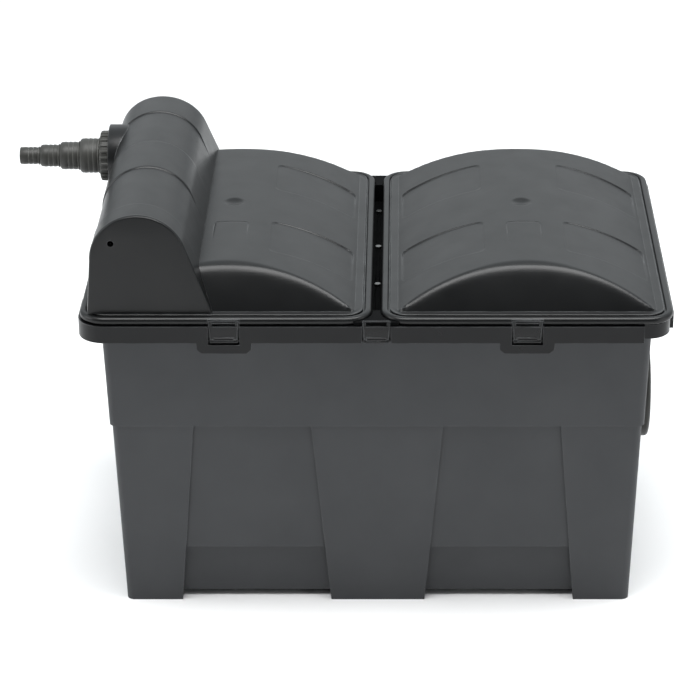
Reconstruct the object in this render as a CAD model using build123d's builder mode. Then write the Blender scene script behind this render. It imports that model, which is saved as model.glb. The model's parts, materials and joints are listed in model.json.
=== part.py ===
# Two-lid flow-through pond filter box: tub, rim collar, domed lids, inlet hood, screen belt and foams.
# Millimetres: X along the length, Y towards the hinges, Z up, origin on the ground mid footprint.
import os
from math import acos, atan2, cos, hypot, sin

from build123d import *

os.makedirs("parts", exist_ok=True)

# Tub
foot_half_length = 350.9
foot_half_depth = 224.0
draft = 0.0332
tub_underside = 10.0
tub_floor = 14.0
low_ledge = 84.0
belt_line = 277.0
belt_step = 3.0
tub_top = 437.0
tub_corner = 10.0
wall = 4.0
low_recess = 12.0
leg_slab = 14.0
end_leg_top, end_leg_foot = 249.5, 273.0
middle_leg_top, middle_leg_foot = 89.7, 65.0
side_leg_top, side_leg_foot = 123.0, 146.0
past_end, past_side = 372.0, 245.0

# Rim collar and lids
rim_half_length = 395.0
rim_half_depth = 268.0
lid_corner = 35.0
gap_half = 6.2
lid_half = (rim_half_length - gap_half) / 2
lid_centre = (rim_half_length + gap_half) / 2
collar_top = 440.5
collar_bottom = 420.5
skirt_inset = 3.6
skirt_wall = 3.4
band_proud = 2.5
band_top = collar_top
band_bottom = 416.5
mouth_half_length = 363.0
mouth_half_depth = 236.5
tab_top_half, tab_foot_half = 37.0, 30.0
tab_knee, tab_foot = 407.0, 401.5
pocket_floor = 414.0
lid_under = 441.9
lid_top = 451.5
dome_foot = 22.5
dome_half = lid_half - dome_foot
gable_foot = rim_half_depth - dome_foot
gable_run = 34.5
dome_rise = 55.0
shell = 3.6
inlet_window_x = -298.0

# Latches and hinges
latch_places = (-202.0, 0.0, 200.0)
latch_widths = (40.6, 37.5, 40.6)
latch_axis_y = -268.2
latch_axis_z = 419.2
latch_top = 449.5
latch_back = 268.4
latch_thick = 2.9
latch_barrel = 3.1
latch_pin = 1.2
catch_z = 444.4
grip_z = 422.4
running = 0.05
hinge_places = (80.0, 320.0)
hinge_y = 279.0
hinge_z = 437.0
hinge_pin = 2.5
hinge_eye = 6.0

# Inlet hood and hose tail
hood_front = -254.0
hood_rear = 207.0
hood_rear_foot = 245.0
hood_left = -383.0
hood_right = -217.5
hood_round_x = -313.0
hood_round_z = 527.1
hood_round = 64.0
hood_foot = lid_top + 0.4
hood_wall = 3.5
dome_clearance = 0.4
below = lid_top - 30
above = 620.0
inlet_y = 134.0
inlet_z = 526.5
boss_radius = 45.0
boss_face = -385.0
stub_radius = 30.0
stub_length = 6.5
spout_radius = 24.0
vent_place = (-348, 552.5)
vent_radius = 4.3
tail_start = -398.7
tail_radii = (25.0, 20.0, 16.0, 12.5)
tail_step = 28.9
tail_bore = 9.5
tail_neck = 24.5

# Screen module in the left chamber
roller_radius = 18.0
idler_x = -330.0
drive_x = -150.0
roller_z = 395.0
belt_gap = 0.3
belt_thick = 1.2
side_front = -205.0
side_rear = 165.0
side_thick = 6.0
shaft_radius = 6.0

# Outlet on the right wall and drain on the rear wall
outlet_z = 227.0
outlet_bore = 55.2
outlet_thread = 59.5
outlet_pad = 80.0
outlet_face = 386.0
spigot_end = 326.0
strainer_end = 232.0
pad_outer = 365.0
pad_inner = 346.0
drain_x = -170.0
drain_z = 62.0
drain_pad = 224.5
drain_thread = 27.6
drain_bore = 22.0
drain_pipe = 25.0


def half_length(z):
    return foot_half_length + draft * z


def half_depth(z):
    return foot_half_depth + draft * z


def finish(piece, name):
    piece.part.label = name
    export_step(piece.part, f"parts/{name}.step")


def tapered(low, high, inset):
    with BuildPart() as block:
        for z in (low, high):
            with BuildSketch(Plane.XY.offset(z)):
                RectangleRounded(2 * (half_length(z) - inset), 2 * (half_depth(z) - inset), tub_corner)
        loft()
    return block.part


def leg_outline(top_inner, top_outer, foot_inner, foot_outer):
    Polygon((top_inner, belt_line), (top_outer, belt_line), (foot_outer, 0), (foot_inner, 0), align=None)


def leg_stock():
    with BuildPart() as stock:
        with BuildSketch(Plane.XZ.offset(foot_half_depth - leg_slab)):
            leg_outline(-end_leg_top, -past_end, -end_leg_foot, -past_end)
            leg_outline(-middle_leg_top, middle_leg_top, -middle_leg_foot, middle_leg_foot)
            leg_outline(end_leg_top, past_end, end_leg_foot, past_end)
        extrude(amount=40)
        with BuildSketch(Plane.YZ.offset(foot_half_length - leg_slab)):
            leg_outline(-side_leg_top, -past_side, -side_leg_foot, -past_side)
            leg_outline(side_leg_top, past_side, side_leg_foot, past_side)
        extrude(amount=40)
        mirror(about=Plane.XZ)
        mirror(about=Plane.YZ)
    return stock.part


def legs():
    with BuildPart() as shaped:
        add(leg_stock())
        add(tapered(0, belt_line, 0), mode=Mode.INTERSECT)
    return shaped.part


def cavity(extra):
    with BuildPart() as hollow:
        add(tapered(tub_floor, low_ledge + wall + 1, low_recess + wall + extra))
        add(tapered(low_ledge + wall, belt_line + wall + 1, 2 * wall + extra))
        add(tapered(belt_line + wall, tub_top + 1, wall - belt_step + extra))
    return hollow.part


def outlet_axis(x):
    return Plane(origin=(x, 0, outlet_z), x_dir=(0, 1, 0), z_dir=(1, 0, 0))


def drain_axis(y):
    return Plane(origin=(drain_x, y, drain_z), x_dir=(-1, 0, 0), z_dir=(0, 1, 0))


# Moulded tub: drafted walls, three legs front and rear, recessed panels, pads for the two bulkheads.
# The outlet hole opens by half a degree outwards, as the mould needs.
with BuildPart() as tub:
    add(tapered(tub_underside, low_ledge, low_recess))
    add(tapered(low_ledge, belt_line, wall))
    add(tapered(belt_line, tub_top, -belt_step))
    add(legs())
    with BuildSketch(Plane.XY):
        Rectangle(40, 2 * foot_half_depth - 30)
    extrude(amount=tub_floor)
    add(cavity(0), mode=Mode.SUBTRACT)
    with BuildSketch(outlet_axis(pad_inner)):
        Circle(outlet_pad)
    extrude(amount=pad_outer - pad_inner)
    with BuildSketch(drain_axis(drain_pad)):
        RectangleRounded(104, 86, 6)
    extrude(amount=-16)
    with BuildSketch(outlet_axis(pad_inner - 5)):
        Circle(outlet_thread + 0.5)
    extrude(amount=40, taper=-0.5, mode=Mode.SUBTRACT)
    with BuildSketch(drain_axis(drain_pad + 5)):
        Circle(drain_thread + 0.4)
    extrude(amount=-40, mode=Mode.SUBTRACT)
finish(tub, "tub")


def rim_sketch(inset, corner):
    RectangleRounded(2 * (rim_half_length - inset), 2 * (rim_half_depth - inset), corner)


def tab_outline(x):
    top = (tab_top_half, band_bottom + 4)
    knee = (tab_top_half - 1, tab_knee)
    foot = (tab_foot_half, tab_foot)
    right = [(x + reach, z) for reach, z in (foot, knee, top)]
    left = [(x - reach, z) for reach, z in (top, knee, foot)]
    Polygon(*left, *right, align=None)


def hinge_profile(arm):
    Polygon(*arm, align=None)
    with Locations((hinge_y, hinge_z)):
        Circle(hinge_eye)


# Rim collar: caps the tub wall, carries the skirt, the raised bands, the latch pockets and the hinge lugs
with BuildPart() as rim_collar:
    with BuildSketch(Plane.XY.offset(collar_bottom)):
        rim_sketch(skirt_inset, lid_corner - skirt_inset)
    extrude(amount=collar_top - collar_bottom)
    with BuildSketch(Plane.XY.offset(collar_bottom)):
        rim_sketch(skirt_inset + skirt_wall, lid_corner - skirt_inset - skirt_wall)
    extrude(amount=tub_top - collar_bottom, mode=Mode.SUBTRACT)
    with BuildSketch(Plane.XY.offset(collar_bottom)):
        RectangleRounded(2 * mouth_half_length, 2 * mouth_half_depth, tub_corner)
    extrude(amount=30, mode=Mode.SUBTRACT)
    with BuildSketch(Plane.XY.offset(band_bottom)) as band_plan:
        rim_sketch(-band_proud, lid_corner + band_proud)
        with BuildSketch(mode=Mode.SUBTRACT):
            rim_sketch(skirt_inset + 0.6, lid_corner - skirt_inset)
        with Locations((rim_half_length - 10, -rim_half_depth + 17.5)):
            Rectangle(60, 60, mode=Mode.SUBTRACT)
        with Locations((-rim_half_length, 40)):
            Rectangle(30, 440, mode=Mode.SUBTRACT)
    extrude(amount=band_top - band_bottom)
    for x in (latch_places[0], latch_places[2]):
        with BuildSketch(Plane.XZ.offset(rim_half_depth - skirt_inset)):
            tab_outline(x)
        extrude(amount=skirt_inset + band_proud)
    for x, width in zip(latch_places, latch_widths):
        with BuildSketch(Plane.XY.offset(pocket_floor)):
            with Locations((x, -rim_half_depth)):
                Rectangle(width + 1.2, 6.2)
        extrude(amount=30, mode=Mode.SUBTRACT)
        with BuildSketch(Plane.YZ.offset(x - 25)):
            with Locations((latch_axis_y, latch_axis_z)):
                Circle(latch_pin)
        extrude(amount=50, mode=Mode.SUBTRACT)
    for x in hinge_places:
        for side in (-1, 1):
            for cheek in (-1, 1):
                with BuildSketch(Plane.YZ.offset(side * x + cheek * 13 - 3)):
                    hinge_profile(((268, 424), (268, 440.5), (276, 440.5), (280, 431.5)))
                extrude(amount=6)
            with BuildSketch(Plane.YZ.offset(side * x - 18)):
                with Locations((hinge_y, hinge_z)):
                    Circle(hinge_pin)
            extrude(amount=36, mode=Mode.SUBTRACT)
finish(rim_collar, "rim_collar")

# Pins of the three latches and of the four hinges
with BuildPart() as latch_pins:
    for x in latch_places:
        with BuildSketch(Plane.YZ.offset(x - 25)):
            with Locations((latch_axis_y, latch_axis_z)):
                Circle(latch_pin)
        extrude(amount=50)
finish(latch_pins, "latch_pins")

with BuildPart() as hinge_pins:
    for x in hinge_places:
        for side in (-1, 1):
            with BuildSketch(Plane.YZ.offset(side * x - 17)):
                with Locations((hinge_y, hinge_z)):
                    Circle(hinge_pin)
            extrude(amount=34)
finish(hinge_pins, "hinge_pins")

# Snap latches: plate with a window for the lid's catch, turning on the pin at its foot
for name, x, width in zip(("left_latch", "centre_latch", "right_latch"), latch_places, latch_widths):
    with BuildPart() as latch:
        with BuildSketch(Plane.XZ.offset(latch_back)):
            Polygon((x - width / 2 + 2, latch_axis_z), (x - width / 2, latch_top),
                    (x + width / 2, latch_top), (x + width / 2 - 2, latch_axis_z), align=None)
        extrude(amount=latch_thick)
        fillet(latch.edges().filter_by(Axis.Y).group_by(Axis.Z)[-1], radius=1.5)
        with BuildSketch(Plane.YZ.offset(x - width / 2 + 2)):
            with Locations((latch_axis_y, latch_axis_z)):
                Circle(latch_barrel)
        extrude(amount=width - 4)
        with BuildSketch(Plane.XZ.offset(latch_back - 8)):
            with Locations((x, catch_z)):
                RectangleRounded(width - 5, 4.4, 0.8)
        extrude(amount=20, mode=Mode.SUBTRACT)
        with BuildSketch(Plane.XZ.offset(latch_back + latch_thick - 0.1)):
            with Locations((x, grip_z)):
                RectangleRounded(27, 5, 2)
        extrude(amount=1.1)
        with BuildSketch(Plane.YZ.offset(x - 30)):
            with Locations((latch_axis_y, latch_axis_z)):
                Circle(latch_pin + running)
        extrude(amount=60, mode=Mode.SUBTRACT)
    finish(latch, name)


def dome_block(centre, inset):
    half = dome_half - inset
    foot = gable_foot - inset
    base = lid_top - inset
    with BuildPart() as dome:
        with BuildSketch(Plane.XZ.offset(-foot)):
            with BuildLine():
                ThreePointArc((centre - half, base), (centre, base + dome_rise), (centre + half, base))
                Line((centre - half, base), (centre + half, base))
            make_face()
        extrude(amount=2 * foot)
        with BuildSketch(Plane.YZ.offset(centre - half - 1)):
            Polygon((-foot, base), (-foot + gable_run, base + dome_rise),
                    (foot - gable_run, base + dome_rise), (foot, base), align=None)
        extrude(amount=2 * half + 2, mode=Mode.INTERSECT)
    return dome.part


def lid_sketch(centre, inset):
    with Locations((centre, 0)):
        RectangleRounded(2 * (lid_half - inset), 2 * (rim_half_depth - inset), lid_corner - inset)


def lid_body(centre, latch_x):
    with BuildPart() as body:
        with BuildSketch(Plane.XY.offset(lid_under)):
            lid_sketch(centre, 0)
        extrude(amount=lid_top - lid_under)
        fillet(body.edges().group_by(Axis.Z)[-1], radius=4.6)
        fillet(body.edges().group_by(Axis.Z)[0], radius=3.0)
        with BuildSketch(Plane.XY.offset(lid_top - 3.7)):
            lid_sketch(centre, 9.5)
            with Locations((centre, 0)):
                RectangleRounded(2 * (lid_half - 12), 2 * (rim_half_depth - 12), lid_corner - 12,
                                 mode=Mode.SUBTRACT)
        extrude(amount=5, mode=Mode.SUBTRACT)
        with BuildSketch(Plane.XY.offset(lid_under)):
            lid_sketch(centre, 15)
        extrude(amount=lid_top - shell - lid_under, mode=Mode.SUBTRACT)
        add(dome_block(centre, 0))
        add(dome_block(centre, shell), mode=Mode.SUBTRACT)
        with BuildSketch(Plane.XY.offset(lid_under - 1)):
            with Locations((latch_x, -rim_half_depth)):
                Rectangle(42, 5)
        extrude(amount=8.6, mode=Mode.SUBTRACT)
        with BuildSketch(Plane.XZ.offset(rim_half_depth - 4)):
            with Locations((latch_x, catch_z)):
                Rectangle(32, 1.4)
        extrude(amount=4.1)
        side = 1 if centre > 0 else -1
        for x in hinge_places:
            with BuildSketch(Plane.YZ.offset(side * x - 9)):
                hinge_profile(((258, 442.6), (262, 447), (270, 447), (281, 442.6), (274, 438), (271, 442.6)))
            extrude(amount=18)
            with BuildSketch(Plane.YZ.offset(side * x - 10)):
                with Locations((hinge_y, hinge_z)):
                    Circle(hinge_pin + running)
            extrude(amount=20, mode=Mode.SUBTRACT)
    return body.part


# Lids: rounded bead, groove, ledge and arched dome with sloping gables, each on two rear knuckles
with BuildPart() as right_lid:
    add(lid_body(lid_centre, latch_places[2]))
finish(right_lid, "right_lid")

with BuildPart() as left_lid:
    add(lid_body(-lid_centre, latch_places[0]))
    with BuildSketch(Plane.XY.offset(lid_under)):
        with Locations((inlet_window_x, 20)):
            RectangleRounded(110, 320, 12)
    extrude(amount=80, mode=Mode.SUBTRACT)
finish(left_lid, "left_lid")

# Rubber seals under the ledges of the lids
for name, centre in (("left_lid_seal", -lid_centre), ("right_lid_seal", lid_centre)):
    with BuildPart() as seal:
        with BuildSketch(Plane.XY.offset(collar_top + 0.3)):
            lid_sketch(centre, 15)
            with Locations((centre, 0)):
                RectangleRounded(2 * (lid_half - 20), 2 * (rim_half_depth - 20), 15, mode=Mode.SUBTRACT)
        extrude(amount=lid_top - shell - collar_top - 0.3)
    finish(seal, name)

# Centre beam: channel between the lids, with a filler block at each end, screwed down to the partition
beam_floor = 413.0
beam_width = 24.0
beam_wall = 3.0
beam_end = 236.3
filler_gap = 1.2
filler_heights = {-1: 6.0, 1: 2.5}
screw_places = (-211, -78, 55, 188)
with BuildPart() as centre_beam:
    with BuildSketch(Plane.XZ.offset(-beam_end)):
        with Locations((0, (beam_floor + collar_top) / 2)):
            Rectangle(beam_width, collar_top - beam_floor)
        with Locations((0, collar_top - 1.75)):
            Rectangle(60, 3.5)
        with Locations((0, beam_floor + beam_wall + 15)):
            Rectangle(beam_width - 2 * beam_wall, 30, mode=Mode.SUBTRACT)
    extrude(amount=2 * beam_end)
    for side, height in filler_heights.items():
        with BuildSketch(Plane.XY.offset(beam_floor)):
            with Locations((0, side * (beam_end - 3.15))):
                Rectangle(beam_width, 6.3)
        extrude(amount=collar_top - beam_floor)
        with BuildSketch(Plane.XY.offset(collar_top)):
            with Locations((0, side * (rim_half_depth - 19))):
                Rectangle(82, 38)
            with Locations((lid_corner + gap_half, side * (rim_half_depth - lid_corner)),
                           (-lid_corner - gap_half, side * (rim_half_depth - lid_corner))):
                Circle(lid_corner + filler_gap, mode=Mode.SUBTRACT)
            with Locations((0, side * 240)):
                Rectangle(60, 60, mode=Mode.INTERSECT)
        extrude(amount=height)
    with BuildSketch(Plane.XY.offset(beam_floor)):
        with Locations([(0, y) for y in screw_places]):
            Circle(2.2)
    extrude(amount=10, mode=Mode.SUBTRACT)
finish(centre_beam, "centre_beam")

with BuildPart() as beam_screws:
    with Locations([(0, y, beam_floor + beam_wall) for y in screw_places]):
        Cylinder(4, 3, align=(Align.CENTER, Align.CENTER, Align.MIN))
        Cylinder(1.8, 15, align=(Align.CENTER, Align.CENTER, Align.MAX))
finish(beam_screws, "beam_screws")

# Partition between the chambers, shaped to the tub, with flow slots near the floor
with BuildPart() as partition_plate:
    add(cavity(0.4))
    with Locations((0, 0, tub_floor)):
        Box(5, 600, 412.5 - tub_floor, align=(Align.CENTER, Align.CENTER, Align.MIN), mode=Mode.INTERSECT)
    with BuildSketch(Plane.YZ.offset(-5)):
        with Locations((0, 62)):
            with GridLocations(76, 0, 5, 1):
                RectangleRounded(54, 44, 6)
        with Locations([(y, 405) for y in screw_places]):
            Rectangle(3.6, 16)
    extrude(amount=10, mode=Mode.SUBTRACT)
finish(partition_plate, "partition_plate")

# Slotted grids that hold the foams above the floor
grid_low = 30.0
grid_thick = 4.0
grid_x = 166.0
post_radius = 6.0
post_pitch = (304, 366, 2, 2)
for name, side in (("left_base_grid", -1), ("right_base_grid", 1)):
    with BuildPart() as grid:
        with BuildSketch(Plane.XY.offset(grid_low)):
            with Locations((side * grid_x, 0)):
                RectangleRounded(318, 380, 8)
                with GridLocations(38, 92, 8, 4):
                    RectangleRounded(24, 78, 6, mode=Mode.SUBTRACT)
        extrude(amount=grid_thick)
        with BuildSketch(Plane.XY.offset(tub_floor)):
            with Locations((side * grid_x, 0)):
                with GridLocations(*post_pitch):
                    Circle(post_radius)
                with GridLocations(152, 92, 2, 3):
                    Rectangle(10, 10)
        extrude(amount=grid_low - tub_floor)
    finish(grid, name)

# Foam blocks on pull-up holders in the right chamber
foam_top = 380.0
rod_y = 110
rod_radius = 6.0
rod_length = 366.0
plate_thick = 3.5
handle_z = 404.0
for index, x in enumerate((52, 120, 188), start=1):
    with BuildPart() as foam_holder:
        with BuildSketch(Plane.XY.offset(grid_low + grid_thick)):
            with Locations((x, 0)):
                RectangleRounded(50, 320, 8)
        extrude(amount=plate_thick)
        for y in (-rod_y, rod_y):
            with Locations((x, y, grid_low + grid_thick)):
                Cylinder(rod_radius, rod_length, align=(Align.CENTER, Align.CENTER, Align.MIN))
        with BuildSketch(Plane.XZ.offset(-rod_y - 10)):
            with Locations((x, handle_z)):
                RectangleRounded(16, 12, 4)
        extrude(amount=2 * rod_y + 20)
        with BuildSketch(Plane.XY.offset(foam_top + 0.5)):
            with Locations((x, -rod_y), (x, rod_y)):
                Circle(18)
        extrude(amount=3)
    finish(foam_holder, f"foam_holder_{index}")

    with BuildPart() as foam_block:
        with BuildSketch(Plane.XY.offset(grid_low + grid_thick + plate_thick)):
            with Locations((x, 0)):
                RectangleRounded(60, 408, 6)
                with Locations((0, -rod_y), (0, rod_y)):
                    Circle(rod_radius + 0.2, mode=Mode.SUBTRACT)
        extrude(amount=foam_top - grid_low - grid_thick - plate_thick)
    finish(foam_block, f"foam_block_{index}")

# Media tray with its foam mat, under the screen module in the left chamber
tray_low = 190.0
tray_floor = 5.0
tray_x = -176.0
tray_length, tray_depth = 330.0, 430.0
with BuildPart() as media_tray:
    with BuildSketch(Plane.XY.offset(tray_low)):
        with Locations((tray_x, 0)):
            RectangleRounded(tray_length, tray_depth, 10)
            with GridLocations(38, 100, 8, 4):
                RectangleRounded(26, 84, 6, mode=Mode.SUBTRACT)
    extrude(amount=tray_floor)
    with BuildSketch(Plane.XY.offset(tray_low + tray_floor)):
        with Locations((tray_x, 0)):
            RectangleRounded(tray_length, tray_depth, 10)
            RectangleRounded(tray_length - 6, tray_depth - 6, 7, mode=Mode.SUBTRACT)
    extrude(amount=14)
    with BuildSketch(Plane.XY.offset(grid_low + grid_thick)):
        with Locations((-grid_x, 0)):
            with GridLocations(*post_pitch):
                Circle(post_radius)
    extrude(amount=tray_low - grid_low - grid_thick)
finish(media_tray, "media_tray")

with BuildPart() as foam_mat:
    with BuildSketch(Plane.XY.offset(tray_low + tray_floor)):
        with Locations((tray_x, 0)):
            RectangleRounded(tray_length - 8, tray_depth - 8, 8)
    extrude(amount=80)
finish(foam_mat, "foam_mat")


# Screen module: two side plates hung on the collar and the beam, slotted deck, mesh belt and rollers
for name, face, ledge_side in (("screen_side_front", side_front, 1), ("screen_side_rear", side_rear, -1)):
    start = face if ledge_side > 0 else face - side_thick
    with BuildPart() as side_plate:
        with BuildSketch(Plane.XZ.offset(-start - side_thick)):
            Polygon((-357, 345), (-357, 440.5), (-371, 440.5), (-371, 444.5), (-27, 444.5),
                    (-27, 440.5), (-32, 440.5), (-32, 322), (-135, 322), (-180, 345), align=None)
            with Locations((idler_x, roller_z), (drive_x, roller_z)):
                Circle(shaft_radius + running, mode=Mode.SUBTRACT)
        extrude(amount=side_thick)
        ledge_start = face + side_thick if ledge_side > 0 else face - side_thick - 8
        with Locations((-70, ledge_start, 331)):
            Box(70, 8, 4, align=(Align.CENTER, Align.MIN, Align.MIN))
    finish(side_plate, name)

inner_front = side_front + side_thick
inner_rear = side_rear - side_thick
belt_front = inner_front + 4
belt_rear = inner_rear - 4

deck_z = 406.0
middle_x = (idler_x + drive_x) / 2
middle_y = (inner_front + inner_rear) / 2
with BuildPart() as screen_deck:
    with BuildSketch(Plane.XY.offset(deck_z)):
        with Locations((middle_x, middle_y)):
            Rectangle(126, inner_rear - inner_front)
            with GridLocations(24, 58, 5, 6):
                RectangleRounded(16, 50, 4, mode=Mode.SUBTRACT)
    extrude(amount=5)
finish(screen_deck, "screen_deck")


def belt_loop(radius, mode=Mode.ADD):
    with Locations((middle_x, roller_z)):
        SlotCenterToCenter(drive_x - idler_x, 2 * radius, mode=mode)


with BuildPart() as screen_belt:
    with BuildSketch(Plane.XZ.offset(-belt_rear)):
        belt_loop(roller_radius + belt_gap + belt_thick)
        belt_loop(roller_radius + belt_gap, Mode.SUBTRACT)
    extrude(amount=belt_rear - belt_front)
finish(screen_belt, "screen_belt")

for name, x, shaft_end in (("idler_roller", idler_x, side_rear - 1), ("drive_roller", drive_x, 188)):
    with BuildPart() as roller:
        with BuildSketch(Plane.XZ.offset(-belt_rear)):
            with Locations((x, roller_z)):
                Circle(roller_radius)
                with PolarLocations(roller_radius, 12):
                    Circle(1.6, mode=Mode.SUBTRACT)
        extrude(amount=belt_rear - belt_front)
        with BuildSketch(Plane.XZ.offset(-shaft_end)):
            with Locations((x, roller_z)):
                Circle(shaft_radius)
        extrude(amount=shaft_end - side_front - 1)
    finish(roller, name)

with BuildPart() as scraper:
    with BuildSketch(Plane.XZ.offset(-inner_rear)):
        Polygon((drive_x + 20, 398), (-109, 390), (-109, 372), (-111.5, 372),
                (-111.5, 388), (drive_x + 20, 396), align=None)
    extrude(amount=inner_rear - inner_front)
finish(scraper, "scraper")

with BuildPart() as gear_motor:
    with BuildSketch(Plane.XZ.offset(-side_rear)):
        with Locations((drive_x, roller_z)):
            Circle(25)
    extrude(amount=-56)
    with BuildSketch(Plane.XZ.offset(-side_rear)):
        with Locations((drive_x - 20, roller_z)):
            RectangleRounded(62, 34, 5)
    extrude(amount=-22)
    with BuildSketch(Plane.XZ.offset(-side_rear)):
        with Locations((drive_x, roller_z)):
            Circle(shaft_radius + running)
    extrude(amount=-26, mode=Mode.SUBTRACT)
    fillet(gear_motor.faces().sort_by(Axis.Y)[-1].edges(), radius=4)
finish(gear_motor, "gear_motor")

with BuildPart() as motor_gland:
    with BuildSketch(Plane.YZ.offset(drive_x - 51)):
        with Locations((side_rear + 11, roller_z)):
            RegularPolygon(8, 6)
            Circle(3.2, mode=Mode.SUBTRACT)
    extrude(amount=-6)
    with BuildSketch(Plane.YZ.offset(drive_x - 57)):
        with Locations((side_rear + 11, roller_z)):
            Circle(6)
            Circle(3.2, mode=Mode.SUBTRACT)
    extrude(amount=-9)
finish(motor_gland, "motor_gland")

# Debris basket beside the scraper, with its fold-over bail
basket_x = -70.0
basket_length = inner_rear - inner_front - 3
basket_low = 335.0
basket_top = 428.0
bail_z = 420.0
bail_reach = 28.0
bail_rod = 2.5
bail_span = basket_length / 2 - 7
with BuildPart() as debris_basket:
    with BuildSketch(Plane.XY.offset(basket_low)):
        with Locations((basket_x, middle_y)):
            RectangleRounded(70, basket_length, 6)
    extrude(amount=basket_top - basket_low)
    with BuildSketch(Plane.XY.offset(basket_low + 2.5)):
        with Locations((basket_x, middle_y)):
            RectangleRounded(65, basket_length - 5, 4)
    extrude(amount=basket_top, mode=Mode.SUBTRACT)
    with BuildSketch(Plane.XY.offset(basket_low - 1)):
        with Locations((basket_x, middle_y)):
            with GridLocations(14, 30, 4, 11):
                RectangleRounded(8, 24, 3)
    extrude(amount=6, mode=Mode.SUBTRACT)
    with BuildSketch(Plane.YZ.offset(basket_x - 40)):
        with Locations((middle_y, 375)):
            with GridLocations(24, 0, 13, 1):
                RectangleRounded(10, 52, 3)
    extrude(amount=80, mode=Mode.SUBTRACT)
    with BuildSketch(Plane.XZ.offset(-middle_y - basket_length)):
        with Locations((basket_x, bail_z)):
            Circle(bail_rod + running)
    extrude(amount=2 * basket_length, mode=Mode.SUBTRACT)
finish(debris_basket, "debris_basket")

with BuildPart() as basket_handle:
    for side in (-1, 1):
        arm_y = middle_y + side * bail_span
        with Locations((basket_x, arm_y + side * 2.5, bail_z)):
            Cylinder(bail_rod, 7, rotation=(90, 0, 0))
        with Locations((basket_x + bail_reach / 2, arm_y, bail_z)):
            Cylinder(bail_rod, bail_reach, rotation=(0, 90, 0))
        for x in (basket_x, basket_x + bail_reach):
            with Locations((x, arm_y, bail_z)):
                Sphere(bail_rod)
    with Locations((basket_x + bail_reach, middle_y, bail_z)):
        Cylinder(bail_rod, 2 * bail_span, rotation=(90, 0, 0))
finish(basket_handle, "basket_handle")


def hood_outline(inset):
    radius = hood_round - inset
    foot_x = hood_right - inset * 1.2
    lean_x = foot_x - hood_round_x
    lean_z = lid_top - hood_round_z
    touch = atan2(lean_z, lean_x) + acos(radius / hypot(lean_x, lean_z))
    touch_point = (hood_round_x + radius * cos(touch), hood_round_z + radius * sin(touch))
    with BuildLine() as outline:
        Polyline((hood_round_x - radius, hood_round_z), (hood_left + inset, lid_top),
                 (hood_left + inset, below), (foot_x, below), (foot_x, lid_top), touch_point)
        ThreePointArc(touch_point, (hood_round_x, hood_round_z + radius),
                      (hood_round_x - radius, hood_round_z))
    make_face(outline.edges())


def hood_block(inset):
    with BuildPart() as block:
        with BuildSketch(Plane.XZ.offset(-hood_rear_foot)):
            hood_outline(inset)
        extrude(amount=hood_rear_foot - hood_front)
        with BuildSketch(Plane.YZ.offset(hood_left - 1)):
            Polygon((hood_front + inset, below), (hood_front + inset, above), (hood_rear - inset, above),
                    (hood_rear - inset, hood_round_z + hood_round), (hood_rear_foot - inset, lid_top),
                    (hood_rear_foot - inset, below), align=None)
        extrude(amount=200, mode=Mode.INTERSECT)
    return block.part


def inlet_axis(x):
    return Plane(origin=(x, inlet_y, inlet_z), x_dir=(0, 1, 0), z_dir=(-1, 0, 0))


# Inlet hood: arched cover with the inlet boss and its threaded stub, scribed to the dome below it
with BuildPart() as inlet_hood:
    add(hood_block(0))
    with BuildSketch(inlet_axis(-340)):
        Circle(boss_radius)
    extrude(amount=45)
    with BuildSketch(inlet_axis(boss_face)):
        Circle(stub_radius)
    extrude(amount=stub_length)
    add(hood_block(hood_wall), mode=Mode.SUBTRACT)
    with BuildSketch(inlet_axis(-330)):
        Circle(spout_radius)
    extrude(amount=70, mode=Mode.SUBTRACT)
    with BuildSketch(Plane.XY.offset(400)):
        Rectangle(2000, 2000)
    extrude(amount=hood_foot - 400, mode=Mode.SUBTRACT)
    add(dome_block(-lid_centre, -dome_clearance), mode=Mode.SUBTRACT)
    with BuildSketch(Plane.XZ.offset(240)):
        with Locations(vent_place):
            Circle(vent_radius)
    extrude(amount=20, mode=Mode.SUBTRACT)
finish(inlet_hood, "inlet_hood")

with BuildPart() as inlet_spout:
    with BuildSketch(inlet_axis(-262)):
        Circle(spout_radius)
    extrude(amount=126)
    with BuildSketch(inlet_axis(-265)):
        Circle(spout_radius - 3)
    extrude(amount=140, mode=Mode.SUBTRACT)
    with BuildSketch(Plane.XY.offset(490)):
        with Locations((-310, inlet_y)):
            RectangleRounded(70, 30, 8)
    extrude(amount=20, mode=Mode.SUBTRACT)
finish(inlet_spout, "inlet_spout")

with BuildPart() as tail_seal:
    with BuildSketch(inlet_axis(boss_face - stub_length)):
        Circle(28)
        Circle(24.5, mode=Mode.SUBTRACT)
    extrude(amount=1.5)
finish(tail_seal, "tail_seal")

# Stepped hose tail for four hose sizes, held by the union nut
with BuildPart() as hose_tail:
    with BuildSketch(inlet_axis(boss_face - 8)):
        Circle(29)
    extrude(amount=1.7)
    with BuildSketch(inlet_axis(boss_face - 8)):
        Circle(tail_neck)
    extrude(amount=boss_face - 8 - tail_start)
    for index, radius in enumerate(tail_radii):
        with BuildSketch(inlet_axis(tail_start - index * tail_step)):
            Circle(radius)
        extrude(amount=tail_step)
    with BuildSketch(inlet_axis(boss_face)):
        Circle(tail_bore)
    extrude(amount=200, mode=Mode.SUBTRACT)
    with BuildSketch(inlet_axis(boss_face)):
        Circle(21)
    extrude(amount=40, mode=Mode.SUBTRACT)
finish(hose_tail, "hose_tail")

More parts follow.
